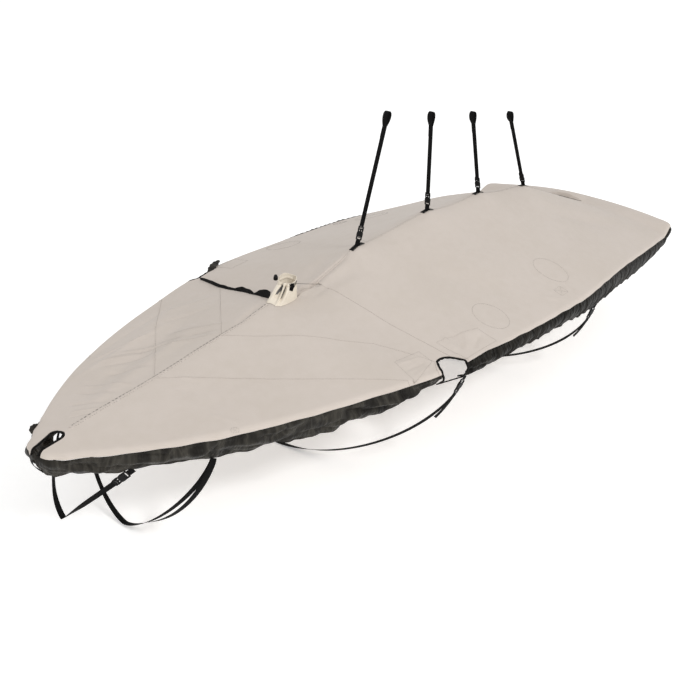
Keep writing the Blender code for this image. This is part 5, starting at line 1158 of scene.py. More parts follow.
def canvas_finish(name, colour, dirt, amount, crease_depth):
    """Matt two-ply canvas: weathered colour, plain weave, and faint creases in the chart.

    The colour is darkened between threads, painted shade in the hollows of the weave: colour * (1 - depth +
    depth * thread).
    """
    made, tree, shader, aged, chart, place = finish(
        name, colour, dirt, amount, 2.6, 0.84, 0.08, sheen_weight=0.10, sheen_roughness=0.5)
    weave = effect(tree, "plain_weave", Chart=chart, Pitch=settings().weave_pitch)
    crumple = effect(tree, "small_creases", Chart=chart, Scale=9.0, Stretch=(0.7, 1.6, 1.0))
    # Painted shade between the threads.
    shade = math_node(tree, "MULTIPLY_ADD", weave.outputs["Thread"], THREAD_SHADE, 1 - THREAD_SHADE)
    tree.links.new(mixed(tree, 1.0, aged, shade, blend_type="MULTIPLY"), shader.inputs["Base Color"])
    bump(tree, shader, [(crumple.outputs[0], crease_depth, 0.6),
                        (weave.outputs["Height"], 0.00015, 0.5)])
    return made


def nylon_finish(name, colour, keep):
    """Slippery skirt cloth whose folds are lighter on their ridges, partly faded and partly a painted
    highlight: share = fold ** RIDGE_FADE_AND_LIGHT_SHARPNESS.

    keep scales the cloth's colour, its ridge colour and its shine; the aft skirt pieces take it below 1, a
    darker copy of the same cloth that paints their shade.
    """
    made, tree, shader, aged, chart, place = finish(
        name, [part * keep for part in colour], (0.010, 0.0088, 0.0072), 0.55, 7.0, 0.38, 0.14,
        specular_ior_level=0.10 * keep)
    weave = effect(tree, "plain_weave", Chart=chart, Pitch=NYLON_PITCH)
    folds = effect(tree, "small_creases", Chart=chart, Scale=14.0, Stretch=(1.0, 0.35, 1.0)).outputs[0]
    fine = effect(tree, "small_creases", Chart=chart, Scale=45.0, Stretch=(1.0, 0.5, 1.0)).outputs[0]
    faded_and_lit = (*(part * keep for part in FADED_AND_LIT_NYLON), 1.0)
    # Fold ridges lightened towards the faded colour: partly fading, partly a painted highlight.
    ridges_faded_and_lit = mixed(tree, math_node(tree, "POWER", folds, RIDGE_FADE_AND_LIGHT_SHARPNESS), aged, faded_and_lit)
    tree.links.new(ridges_faded_and_lit, shader.inputs["Base Color"])
    bump(tree, shader, [(folds, 0.016, 1.0), (fine, 0.0045, 0.8),
                        (weave.outputs["Height"], 0.0001, 0.3)])
    return made


def band_finish(name, colour, roughness):
    """Ribbed woven band: weathered colour under lengthwise ribs."""
    made, tree, shader, aged, chart, place = finish(
        name, colour, (0.009, 0.0085, 0.008), 0.5, 25.0, roughness, 0.12, specular_ior_level=0.06)
    bump(tree, shader, [(effect(tree, "webbing_ribs", Chart=chart).outputs[0], 0.0004, 0.8)])
    return made


def plain_finish(name, colour, dirt, amount, roughness, depth, fixed=None):
    """Smooth finish with a fine grain from noise in object space."""
    made, tree, shader, aged, chart, place = finish(
        name, colour, dirt, amount, 60.0, roughness, 0.15, **(fixed or {}))
    grain = node(tree, "ShaderNodeTexNoise", [("Vector", place), ("Scale", 900.0), ("Detail", 2.0)])
    bump(tree, shader, [(grain.outputs["Fac"], depth, 0.5)])
    return made


# Finishes.  Columns: builder, colour or the setting that holds it, and the builder's other values.
FINISHES = {
    "cover_canvas": (canvas_finish, "canvas_colour", (0.40, 0.35, 0.28), 0.16, 0.0016),
    "cover_collar_canvas": (canvas_finish, "collar_colour", (0.56, 0.46, 0.33), 0.30, 0.0014),
    "cover_nylon": (nylon_finish, "nylon_colour", 1.0),
    # Aft and transom skirt: the same nylon kept at 0.45 of its brightness, painted shade.
    "cover_nylon_aft": (nylon_finish, "nylon_colour", 0.45),
    # Dark grey of the patches in the collar's deep folds: painted shade.
    "cover_collar_shade": (plain_finish, (0.115, 0.108, 0.104), (0.055, 0.050, 0.046), 0.5, 0.8, 0.0002),
    "cover_webbing": (band_finish, "webbing_colour", 0.55),
    "cover_binding_tape": (band_finish, "binding_colour", 0.60),
    "cover_plastic": (plain_finish, "plastic_colour", (0.009, 0.009, 0.009), 0.35, 0.34, 0.0001,
                      {"specular_ior_level": 0.16}),
    # Stitch thread made dark: partly its own colour, partly painted shade of the needle holes along a seam.
    "cover_dark_thread": (plain_finish, "thread_colour", (0.22, 0.19, 0.16), 0.5, 0.70, 0.0002),
    "cover_pale_thread": (plain_finish, (0.52, 0.47, 0.41), (0.35, 0.31, 0.27), 0.5, 0.75, 0.0002),
    "stage_floor": (plain_finish, (0.92, 0.92, 0.915), (0.90, 0.90, 0.895), 0.3, 0.9, 0.0001,
                    {"emission_color": (1.0, 1.0, 1.0, 1.0), "emission_strength": FLOOR_GLOW})}


def material(name):
    """Finish by its name, built when it is first asked for."""
    build, colour, *values = FINISHES[name]
    colour = getattr(settings(), colour) if isinstance(colour, str) else colour
    return bpy.data.materials.get(name) or build(name, colour, *values)


def settings():
    """What a user has chosen in the sidebar."""
    return bpy.context.scene.dinghy_cover


# ================================================================ canvas
def canvas_chart(grid):
    """Chart of a canvas panel in metres: x along the boat, and |y| - z down from the ridge."""
    return np.stack([grid[..., 0], np.abs(grid[..., 1]) - grid[..., 2]], axis=-1)


def panel_grids():
    """All eight panels by name, each a grid of outer points."""
    grids = {}
    for word, side in SIDES.items():
        grids[f"panel_bow_{word}"] = bow_grid(word, side)
        grids[f"panel_fore_{word}"] = fore_grid(word, side)
        grids[f"panel_aft_{word}"] = aft_grid(word, side)
    grids["panel_mast_port"] = mast_grid_port()
    grids["panel_mast_starboard"] = mast_grid_starboard()
    return grids


def slit_lens(share):
    """y and half width at a share of the slit: half width = SLIT_HALF * sin(pi * share) ** 0.6."""
    y = SLIT_SPAN[0] + (SLIT_SPAN[1] - SLIT_SPAN[0]) * share
    return y, SLIT_HALF * np.sin(math.pi * share) ** 0.6


def slit_cutter():
    """Upright prism over the slit's lens."""
    y, half = slit_lens(np.linspace(0, 1, 25))
    ring = np.concatenate([np.stack([SLIT_X + half, y], -1), np.stack([SLIT_X - half, y], -1)[-2:0:-1]])
    size = len(ring)
    points = np.concatenate([np.column_stack([ring, np.full(size, z)]) for z in (0.0, 0.16)])
    ends = np.arange(size)
    wall = np.stack([ends, ends + size, np.roll(ends, -1) + size, np.roll(ends, -1)], axis=1)
    mesh = bpy.data.meshes.new("slit_cutter")
    mesh.from_pydata(points.tolist(), [], wall.tolist() + [ends.tolist(), (ends + size)[::-1].tolist()])
    made = bpy.data.objects.new("slit_cutter", mesh)
    bpy.context.scene.collection.objects.link(made)
    return made


def cut_slit(panel, cutter):
    """Cuts the slit through a panel and keeps the result as the panel's own mesh."""
    modifier = panel.modifiers.new("slit", "BOOLEAN")
    modifier.operation = "DIFFERENCE"
    modifier.object = cutter
    graph = bpy.context.evaluated_depsgraph_get()
    mesh = bpy.data.meshes.new_from_object(panel.evaluated_get(graph), depsgraph=graph)
    panel.modifiers.clear()
    panel.data = mesh


def declare_cloth(made):
    """Reads the size that a piece of cloth is cut to from CLOTH_CUTS; nothing further is done with it."""
    width, length, area = CLOTH_CUTS[made.name.removeprefix("cover_")]


# ================================================================ skirt
def skirt_points(girths, side):
    """Grid from the seam under the canvas to the hem, whose depth is scalloped where it is gathered.

    The scallops are HEM_SCALLOP times a mean, a sine in step with the puckers and even unrest.
    """
    way = np.linspace(0.0, 1.0, SKIRT_ROWS)
    girth = np.repeat(np.asarray(girths, float)[:, None], SKIRT_ROWS, axis=1)
    start = reach(girth, side) + SKIRT_SHIFT
    gathered = ease((GATHER_FROM - plan(girth)[0][..., 0]) / GATHER_RUN)
    wander = waves(girth, PUCKER_WANDER[:1])
    scallop = HEM_PUCKER * np.sin(TAU * girth / PUCKER_PITCH + wander + HEM_PHASE) * gathered + HEM_MEAN
    scallop = HEM_SCALLOP * (scallop + sum(size * swell(girth, 0.0, pitch, seed)
                                           for size, pitch, seed in HEM_UNREST))
    length = start + (hem(girth, side) - start + scallop) * way
    chart = np.stack([girth, length], axis=-1)
    return over_edge(girth, length, side, skirt_swing), chart


def skirt_thickness(thin):
    """Thickness row by row: the cloth, and at the hem the casing's bead."""
    way = np.linspace(0.0, 1.0, SKIRT_ROWS)
    bead = np.sqrt(np.clip(1 - ((way - HEM_BEAD_AT) / HEM_BEAD_HALF) ** 2, 0.0, 1.0))
    return thin + (HEM_BEAD_THICK - thin) * bead


def even(stops, step):
    """Girths that pass every stop, evenly spaced between stops and about a step apart."""
    counts = np.maximum(1, np.round(np.diff(stops) / step).astype(int))
    return spaced(np.asarray(stops, float), counts)


def skirt_parts():
    """Grids of the five skirt pieces by name: two forward, two aft and one across the transom."""
    parts = {}
    turn = girth_at(QUARTER_FROM) + QUARTER_GIRTHS
    corner = turn[QUARTER_CORNER]
    for word, side in SIDES.items():
        first = slot_girth(side)
        fore_end = float(girth_at(CUTOUTS[word][0]))
        girths = even([SEAM_SHIFT, first, first + NOSE_GIRTHS[-3], fore_end], SKIRT_STEP_FORE)
        parts[f"skirt_fore_{word}"] = skirt_points(girths, side)
        girths = even([float(girth_at(CUTOUTS[word][3])), corner], SKIRT_STEP_AFT)
        parts[f"skirt_aft_{word}"] = skirt_points(girths, side)
    half = even([corner + SEAM_SHIFT, turn[-1], GIRTH], SKIRT_STEP_AFT)
    port, port_chart = skirt_points(half, PORT)
    starboard, starboard_chart = skirt_points(half, STARBOARD)
    middle = (port[-1:] + starboard[-1:]) / 2
    across = np.array([-1.0, 1.0]) * starboard_chart[-2::-1] + np.array([2 * GIRTH, 0.0])
    parts["skirt_transom"] = (np.concatenate([port[:-1], middle, starboard[-2::-1]]),
                              np.concatenate([port_chart, across]))
    return parts


# ================================================================ seams, stitches and patches
def down_roll(s, side, shares, tilts):
    """Path over the roll at one girth, at shares of the way to the skirt, and its tilted normals."""
    girths = np.full(len(shares), s)
    over = over_edge(girths, reach(girths, side) * shares, side)
    outwards = plan(girths)[1] * np.array([1.0, side])
    return over, np.column_stack([outwards * np.sin(tilts)[:, None], np.cos(tilts)])


def seam_path(table, edge_x, side, stops=(), bend=(), sink=0.0):
    """Path of a seam over the tent and down the roll, and the canvas normals along it."""
    flat = seam(table, edge_x, side, stops, bend)
    points, normal = on_skin(flat, side, sink, pitch=0.006)
    over, over_normal = down_roll(float(girth_at(edge_x)), side, np.linspace(0.16, 1.0, 6),
                                  np.linspace(0.3, 1.45, 6))
    return (np.concatenate([points, over + over_normal * sink]),
            np.concatenate([normal, over_normal]))


def laid_strip(plan_points, side, widths, lift, sink=0.0009, pitch=0.006, across=9, pucker=0.0):
    """Strip sewn over the canvas: flat in the middle, its edges sunk, puckered between stitches.

    The height over the canvas is lift * (1 - |t| ** 6) - sink * |t| ** 6 for t from -1 to 1 across.
    """
    run = run_along(plan_points)
    at = np.linspace(0, run[-1], max(4, int(run[-1] / pitch)))
    line = read_at(at, run, plan_points)
    way = np.gradient(line, axis=0)
    way /= np.hypot(*way.T)[:, None]
    beside = np.stack([-way[:, 1], way[:, 0]], axis=1)
    share = np.linspace(-1, 1, across)
    half = np.interp(at, np.linspace(0, run[-1], len(widths)), widths) / 2
    spread = line[:, None] + beside[:, None] * (half[:, None] * share)[..., None]
    draw = np.random.default_rng(int(1000 * abs(plan_points[0][0])) + 7)
    phase = TAU * (at / 0.017 + np.cumsum(draw.normal(0, 0.10, len(at))))
    rise = lift * (1 - np.abs(share) ** 6) - sink * np.abs(share) ** 6
    wave = np.sin(phase[:, None] + 1.2 * np.sign(share)) * np.abs(share) ** 0.5 * (1 - share ** 6)
    x, y = spread[..., 0], side * spread[..., 1]
    points, _ = skin_point(x, y, rise[None] + pucker * wave)
    chart = np.stack([np.broadcast_to(at[:, None], x.shape), half[:, None] * share], axis=-1)
    return shell(points, lift, chart)


def patch(corners, side, lift=0.0010, steps=24):
    """Four-cornered patch: bilinear between its corners, lifted off the canvas, its rim sunk in."""
    corners = np.asarray(corners, float)
    u, v = np.meshgrid(np.linspace(0, 1, steps), np.linspace(0, 1, steps), indexing="ij")
    flat = ((1 - u)[..., None] * ((1 - v)[..., None] * corners[0] + v[..., None] * corners[3])
            + u[..., None] * ((1 - v)[..., None] * corners[1] + v[..., None] * corners[2]))
    edge = np.maximum(np.abs(2 * u - 1), np.abs(2 * v - 1)) ** 12
    x, y = flat[..., 0], side * flat[..., 1]
    points, _ = skin_point(x, y, lift * (1 - edge) - 0.0008 * edge)
    return shell(points, 0.0012, canvas_chart(points))


def outline(corners, inset):
    """Closed run of plan points inside a four-cornered patch, moved in towards its middle."""
    corners = np.asarray(corners, float)
    middle = corners.mean(axis=0)
    inner = middle + (corners - middle) * (1 - inset)
    return np.concatenate([inner, inner[:1]])


def ring_line(centre, radius, steps=72):
    """Plan points of a circle."""
    turn = np.linspace(0, TAU, steps)
    return np.array(centre) + radius * np.stack([np.cos(turn), np.sin(turn)], axis=1)


def box_stitch(x, y, turn, long, wide, side):
    """Box with a cross in it: five runs of stitches where a strap is sewn under the canvas."""
    corner = np.array([(-long, -wide), (long, -wide), (long, wide), (-long, wide)]) / 2
    spin = np.array([(math.cos(turn), -math.sin(turn)), (math.sin(turn), math.cos(turn))])
    corner = corner @ spin.T + np.array([x, y])
    ends = ((0, 1), (1, 2), (2, 3), (3, 0), (0, 2), (1, 3))
    return [stitches(*on_skin(corner[list(pair)], side, 0.0004, 0.003), length=0.0040, width=0.0007,
                     pitch=0.0066) for pair in ends]


# ================================================================ bindings and closure
def slot_rim():
    """Path round the bow slot, from under the port roll round the closed end, and its normals."""
    points, normals = [], []
    for side in (PORT, STARBOARD):
        over, over_normal = down_roll(slot_girth(side), side, np.linspace(0.92, 0.15, 6),
                                      np.linspace(1.35, 0.3, 6))
        turn_x = slot_stations(12)[1:]
        flat = np.concatenate([slot_edge(side)[::-4], np.stack([turn_x, centre_gap(turn_x, side)], -1)])
        flat[-1, 1] = 0.0
        edge, normal = skin_point(flat[:, 0], side * flat[:, 1])
        run = np.concatenate([over, edge[1:]]), np.concatenate([over_normal, normal[1:]])
        points.append(run[0] if side > 0 else run[0][-2::-1])
        normals.append(run[1] if side > 0 else run[1][-2::-1])
    return np.concatenate(points), np.concatenate(normals)


def cutout_rim(word, side):
    """Closed path round a shroud cutout: down its aft side, along the hem and up its fore side.

    Each point is then moved three times to the mean of itself, twice over, and its neighbours.
    """
    fore_x, fore_corner, aft_corner, aft_x = CUTOUTS[word]
    legs = []
    for edge_x, corner in ((aft_x, aft_corner), (fore_x, fore_corner)):
        girth = float(girth_at(edge_x))
        girths = np.full(14, girth)
        length = np.linspace(0.2 * float(reach(girth, side)), float(hem(girth, side)), 14)
        flat, normal = on_skin([corner, edge_point(girth, side)], side, 0.0, 0.008)
        over = over_edge(girths, length, side)
        down = unit(np.gradient(over, axis=0))
        outwards = plan(girths)[1] * np.array([1.0, side])
        out3 = np.column_stack([outwards, np.zeros(14)])
        over_normal = unit(out3 - np.sum(out3 * down, axis=1, keepdims=True) * down
                           + np.array([0.0, 0.0, 1e-3]))
        legs.append((np.concatenate([flat, over]), np.concatenate([normal, over_normal])))
    (aft, aft_normal), (fore, fore_normal) = legs
    bridge = np.linspace(aft[-1], fore[-1], 8)[1:-1]
    bridge_normal = unit(np.linspace(aft_normal[-1], fore_normal[-1], 8)[1:-1])
    inner = cutout_inner(word, 16)[1:-1]
    top_run, top_normal = skin_point(inner[:, 0], side * inner[:, 1])
    path = np.concatenate([aft, bridge, fore[::-1], top_run])
    normal = np.concatenate([aft_normal, bridge_normal, fore_normal[::-1], top_normal])
    keep = np.concatenate([[True], np.linalg.norm(np.diff(path, axis=0), axis=1) > 1e-4])
    path, normal = path[keep], normal[keep]
    closed = [np.concatenate([rows, rows[:1]]) for rows in (path, normal)]
    path, normal = [rows[:-1] for rows in resample(closed[0], 0.005, closed[1])]
    for _ in range(3):
        path = (np.roll(path, 1, axis=0) + 2 * path + np.roll(path, -1, axis=0)) / 4
    return path, normal


def binding(path, normal, side, loop):
    """Folded tape beside a raw edge: a swollen flat oval whose width and lie waver a little.

    Its size is 1 + a * sin(b * k + c * sin(d * k)) at step k.
    """
    steps = np.arange(len(path))
    swing, turn, sway, slow = BINDING_WAVER
    waver = 1 + swing * np.sin(steps * turn + sway * np.sin(steps * slow))
    oval = flat_oval(BINDING_WIDTH, BINDING_THICK, 10, 0.6)
    oval = oval + np.array([side * (BINDING_GAP + BINDING_WIDTH / 2), 0.0])
    return sweep(path - normal * settings().canvas_thickness / 2, normal, oval * waver[:, None, None],
                 loop=loop)


def closure_line(y):
    """x of the closure at a distance from the centreline."""
    table = np.array([(CLOSURE[0], 0.0), CLOSURE_BEND, CLOSURE[1:], CUTOUTS["starboard"][1]])
    return np.interp(y, table[:, 1], table[:, 0])


def closure_band():
    """Hook-and-loop band beside the slit: two narrow edges outboard, one wide flap near the mast.

    Its width and its tilt are read from a table along it and swing by a sine, so that it gapes.
    """
    y = np.linspace(CLOSURE_FROM, CLOSURE_TO, 200)
    wide, tilt = read_at(y, CLOSURE_BAND[:, 0], CLOSURE_BAND[:, 1:]).T
    wide = wide * (1 + 0.08 * np.sin(60 * y + 1.0))
    tilt = np.radians(tilt + 6 * np.sin(40 * y))
    foot_x = closure_line(y) + CLOSURE_FOOT
    height = np.max([skin(foot_x + feel, -y) for feel in (0.0, 0.002, -0.002)], axis=0) + 0.0015
    run = np.stack([-np.cos(tilt), np.zeros_like(tilt), np.sin(tilt)], axis=-1)
    path = np.stack([foot_x, -y, height], axis=-1) + run * wide[:, None] / 2
    face = np.stack([np.sin(tilt), np.zeros_like(tilt), np.cos(tilt)], axis=-1)
    oval = flat_oval(1.0, CLOSURE_THICK, 12)
    profile = np.stack([oval[:, 0] * wide[:, None], np.tile(oval[:, 1], (len(y), 1))], axis=-1)
    return sweep(path, face, profile)


def gathered_edge():
    """Bead of puckered nylon that stands up along the starboard seam, and the skirt's leaf-like end.

    The bead's size swells by two sines along it; the leaf's by the root of a sine.
    """
    x = np.linspace(-0.08, -0.92, 300)
    girth = girth_at(x)
    line = over_edge(girth, reach(girth, STARBOARD) + 0.001, STARBOARD)
    up = np.tile(unit(np.array([0.0, -0.45, 0.9])), (len(x), 1))
    puff = 0.50 + 0.28 * np.sin(TAU * girth / 0.045 + 2 * np.sin(9 * girth))
    puff = puff + 0.22 * swell(girth, 0.0, 0.16, 41)
    puff = np.clip(puff, 0.15, 1.3) * ease((x[0] - x) / 0.25) * ease((x - x[-1]) / 0.35)
    parts = [sweep(line + up * 0.0012, up, flat_oval(0.012, 0.010, 10, 0.9), swell_by=puff + 0.05)]
    share = np.linspace(0, 1, 60)[:, None]
    start = np.array([0.560, -0.726, skin(0.560, -0.724) - 0.004])
    end = np.array([0.420, -0.788, skin(0.388, -0.776) + 0.016])
    leaf = start + (end - start) * share + np.array([0.006, 0, 0.004]) * np.sin(math.pi * share)
    girths = np.linspace(0.150, 0.215, 60)
    bow_leaf = over_edge(girths, reach(girths, STARBOARD) * 0.8, STARBOARD)
    bow_leaf = bow_leaf + np.array([0.004, -0.008, 0.004]) * np.sin(math.pi * share)
    face = np.tile(unit(np.array([0.55, 0.55, 0.62])), (60, 1))
    plump = np.sin(math.pi * (0.03 + 0.94 * share[:, 0])) ** 0.6 * (1 + 0.12 * np.sin(28 * share[:, 0]))
    for path, wide in ((leaf, 0.034), (bow_leaf, 0.020)):
        parts.append(sweep(path, face, flat_oval(wide, 0.009, 12, 0.8), swell_by=plump))
    return parts


def slit_lips():
    """Turned edges of the slit: a thin roll along each side of the lens, higher on the aft side; the fore
    roll is given a dark finish, painted shade of the slit's gap.
    """
    share = np.linspace(0.02, 0.98, 60)
    y, half = slit_lens(share)
    parts = []
    for way, thick in ((1.0, 0.0030), (-1.0, 0.0042)):
        points, normal = skin_point(SLIT_X + way * (half + 0.0012), y, 0.0004)
        parts.append(sweep(points, normal, flat_oval(0.0055, thick, 10, 0.7),
                           swell_by=0.6 + 0.4 * np.sin(math.pi * share)))
    return parts


# ================================================================ mast collar
def collar_plan(bearing, share, grow=0.0):
    """Plan point of the collar at a bearing and a share of its height, without its folds.

    The foot is a squared ring and the head a round one; the way between them is
    1 - (1 - share) ** COLLAR_TAPER.
    """
    ahead, beside = np.cos(bearing), np.sin(bearing)
    middle = (COLLAR_FRONT + COLLAR_BACK) / 2
    foot_x = middle + (COLLAR_FRONT - middle) * np.sign(ahead) * np.abs(ahead) ** COLLAR_SQUARE
    width = np.interp(foot_x, [COLLAR_BACK, COLLAR_FRONT], [COLLAR_HALF_BACK, COLLAR_HALF_FRONT])
    foot_y = width * np.sign(beside) * np.abs(beside) ** COLLAR_SQUARE
    head_x = COLLAR_TOP_CENTRE + COLLAR_TOP_RADIUS * ahead
    head_y = COLLAR_TOP_RADIUS * COLLAR_TOP_SQUASH * beside
    way = 1 - (1 - share) ** COLLAR_TAPER
    x, y = foot_x + (head_x - foot_x) * way, foot_y + (head_y - foot_y) * way
    return x + ahead * grow, y + beside * grow


def collar_folds(bearing, share):
    """Depth of the folds in metres: one bell across each bearing, strongest at its own level."""
    depth = np.zeros(np.broadcast(bearing, share).shape)
    for at, half, height, level, span in COLLAR_FOLDS:
        away = (np.degrees(bearing) - at + 180) % 360 - 180
        depth = depth + height * np.exp(-(away / half) ** 2) * np.exp(-((share - level) / span) ** 2)
    return depth


def collar_head(bearing):
    """Height of the head's rim, which tilts as a cosine of the bearing."""
    return COLLAR_TOP_Z - COLLAR_TOP_TILT * np.cos(bearing - COLLAR_TOP_TURN)


def collar_surface():
    """Grid of the collar: straight lines from the canvas to the head, with folds and a drawn waist."""
    bearing = np.linspace(0, TAU, COLLAR_AROUND, endpoint=False)[None, :]
    share = np.linspace(0, 1, COLLAR_LEVELS)[:, None]
    x, y = collar_plan(bearing, share)
    foot_x, foot_y = collar_plan(bearing, np.zeros((1, 1)))
    base = skin(foot_x, foot_y) + 0.0016
    head = collar_head(bearing) + 0.004 * np.sin(3 * bearing + 1.0) * np.sin(bearing * 0.5) ** 2
    fold = collar_folds(bearing, share)
    fold = fold - WAIST_DRAW * np.exp(-((share - WAIST_LEVEL) / WAIST_HALF) ** 2)
    return np.stack([x + np.cos(bearing) * fold, y + np.sin(bearing) * fold,
                     base + (head - base) * share], axis=-1)


def collar_shell(thick):
    """Closed sleeve: the collar's grid, the same grid moved inwards, and rings that join them."""
    outer = collar_surface()
    wrapped = np.concatenate([outer[:, -1:], outer, outer[:, :1]], axis=1)
    normal = unit(np.cross(np.gradient(wrapped, axis=1), np.gradient(wrapped, axis=0))[:, 1:-1])
    middle = outer.mean(axis=1, keepdims=True)
    if np.mean(np.sum(normal * (outer - middle), axis=-1)) < 0:
        normal = -normal
    inner = outer - normal * thick
    inner[..., 2] = outer[..., 2]
    rows, size = outer.shape[:2]
    index = np.arange(2 * rows * size).reshape(2, rows, size)
    faces = [quads(rows, size, close=True), quads(rows, size, close=True)[:, ::-1] + rows * size]
    for row, flip in ((-1, 1), (0, -1)):
        ring = np.stack([index[0, row], index[1, row], np.roll(index[1, row], -1),
                         np.roll(index[0, row], -1)], axis=1)
        faces.append(ring[:, ::flip])
    around = np.linspace(0, COLLAR_LENGTH, size)[None, :] * np.ones((rows, 1))
    chart = np.stack([around, outer[..., 2]], axis=-1).reshape(-1, 2)
    return np.concatenate([outer, inner]).reshape(-1, 3), faces, np.concatenate([chart, chart])


def collar_gaps():
    """Painted shade in the two deep folds, dark patches laid on the collar: half width = half * sin(pi * t)
    ** 0.7 along the fold.
    """
    parts = []
    for middle, half, low, high in FOLD_SHADE_PATCHES:
        along = np.linspace(0.02, 0.98, 40)[:, None]
        across = np.linspace(-1.0, 1.0, 13)[None, :]
        spread = half * np.sin(math.pi * along) ** 0.7 * across + 2.5 * np.sin(2.2 * along)
        bearing = np.radians(middle + spread)
        share = low + (high - low) * along + 0.0 * across
        grid, _ = collar_spot(bearing, share, 0.0012)
        parts.append(shell(grid, 0.0006))
    return parts


def collar_spot(bearing, share, off):
    """Point off the collar at bearings and shares of its height, and the outward normal."""
    bearing, share = np.broadcast_arrays(np.asarray(bearing, float), np.asarray(share, float))
    x, y = collar_plan(bearing, share, off)
    foot_x, foot_y = collar_plan(bearing, np.zeros_like(share))
    base = skin(foot_x, foot_y)
    fold = collar_folds(bearing, share)
    point = np.stack([x + np.cos(bearing) * fold, y + np.sin(bearing) * fold,
                      base + (collar_head(bearing) - base) * share], axis=-1)
    normal = unit(np.stack([np.cos(bearing), np.sin(bearing), np.full(bearing.shape, 0.25)], axis=-1))
    return point, normal


# ================================================================ buckles and webbing
def lofted(outline_points, levels, centre, along, across, up):
    """Solid between flat outlines: each level moves up and shrinks the outline along and across."""
    outline_points = np.asarray(outline_points, float)
    rings = [centre + (along * outline_points[:, :1] * long + across * outline_points[:, 1:] * wide
                       + up * level) for level, long, wide in levels]
    size, count = len(outline_points), len(levels)
    ends = np.arange(size)
    faces = [quads(count, size, close=True), ends[None, ::-1], (ends + (count - 1) * size)[None]]
    points = np.concatenate(rings)
    return points, faces, points[:, :2]


def mirrored(half):
    """Whole outline from its half: the points, then the same ones on the other side backwards."""
    half = np.asarray(half, float)
    return np.concatenate([half, half[::-1] * np.array([1.0, -1.0])])


def buckle_parts(centre, along, face):
    """Side-release buckle: a hollow-backed body, two curved arms, a plate and a ladder of two bars."""
    along = unit(np.asarray(along, float))
    face = unit(face - np.dot(face, along) * along)
    across = np.cross(along, face)

    def solid(points, way=1.0, height=1.0):
        """Outline scaled to the buckle's size and lofted."""
        flat = np.asarray(points) * (BUCKLE_LENGTH, BUCKLE_WIDTH * way)
        levels = [(level * BUCKLE_THICK * height, long, wide) for level, long, wide in BUCKLE_LEVELS]
        return lofted(flat, levels, centre, along, across, face)

    parts = [solid(mirrored(BUCKLE_BODY))]
    parts += [solid(half, way, SLIM) for way in (1.0, -1.0) for half in BUCKLE_PAIRS]
    parts += [solid(mirrored(BUCKLE_PRONG), 1.0, THIN), solid(mirrored(BUCKLE_PLATE), 1.0, SLIM)]
    return parts + [solid(mirrored([(at - half, BAR_HALF_WIDTH), (at + half, BAR_HALF_WIDTH)]), 1.0, THIN)
                    for at, half in BUCKLE_BARS]


def rounded(points, pitch=0.003, passes=6):
    """Even path through corner points, its corners rounded by averaging neighbours."""
    path = resample(np.asarray(points, float), pitch)
    for _ in range(passes):
        path[1:-1] = (path[:-2] + 2 * path[1:-1] + path[2:]) / 4
    return path


def lift_parts(lift):
    """Foot, buckle and strap of a lift: two sewn tabs, and webbing that ends in a sewn loop."""
    foot_x, _, top_x, top_z = lift
    peak = np.array([top_x, 0.0, top_z])
    ends = np.array([foot_x - FOOT_LENGTH, foot_x, foot_x + FOOT_LENGTH])
    under = skin(ends, np.zeros(3)) + 0.0022
    base = np.array([foot_x, 0.0, under[1]])
    along = unit(peak - base)
    lean = np.array([along[2], 0.0, -along[0]])
    neck = base + along * NECK_HEIGHT
    width, thick = settings().webbing_width, settings().webbing_thickness
    oval = flat_oval(width, thick)
    foot, stitch = [], []
    for k, way in ((2, 1.0), (0, -1.0)):
        tip = np.array([ends[k], 0.0, under[k]])
        corner = base + lean * way * NECK_HALF
        rise = neck + lean * way * thick * 0.52
        path = rounded([tip, (tip + corner) / 2 + (0, 0, 0.0004), corner, corner + along * 0.006, rise],
                       0.002, 3)
        face = np.cross(unit(np.gradient(path, axis=0)), np.array([0.0, way, 0.0]))
        foot.append(sweep(path, face, oval))
        for off in (-width * 0.36, width * 0.36):
            run = np.array([tip + (tip - base) * -0.12, corner + (tip - corner) * 0.25])
            run = run + np.array([0.0, off, thick / 2 + 0.0003])
            stitch.append(stitches(np.linspace(run[0], run[1], 12), np.tile((0.0, 0.0, 1.0), (12, 1)),
                                   length=0.003, width=0.0009, pitch=0.0045))
    lower = neck + along * SEWN_GAP
    buckle = buckle_parts(lower + along * BUCKLE_LENGTH / 2, along, lean)
    start = lower + along * (BUCKLE_LENGTH + SEWN_GAP)
    length = np.linalg.norm(peak - start) - LOOP_HEIGHT
    turn = np.linspace(0, 1, 44)
    double = thick + LOOP_DOUBLE
    up = np.concatenate([[0.0, length * 0.25, length * 0.5, length - LOOP_TAIL],
                         length + LOOP_HEIGHT * (1 - np.cos(TAU * turn)) / 2,
                         [length - LOOP_TAIL]])
    aside = -LOOP_WIDTH / 2 * np.sin(TAU * turn) * np.sin(math.pi * turn) * LOOP_FULLNESS
    over_way = np.concatenate([[0.0] * 4, aside + double * turn, [double]])
    path = start + up[:, None] * along + over_way[:, None] * lean
    face = np.cross(unit(np.gradient(path, axis=0)), np.array([0.0, 1.0, 0.0]))
    return foot, stitch, buckle, [sweep(path, face, oval)]


def under_hem(girths, side, line):
    """Height, at the middle girth, of the highest edge along a line that clears the hem."""
    hems = over_edge(girths, hem(girths, side), side)
    level = hems[:, 2] - (hems - hems[len(hems) // 2]) @ line * line[2]
    return level.min() - STRAP_DROP


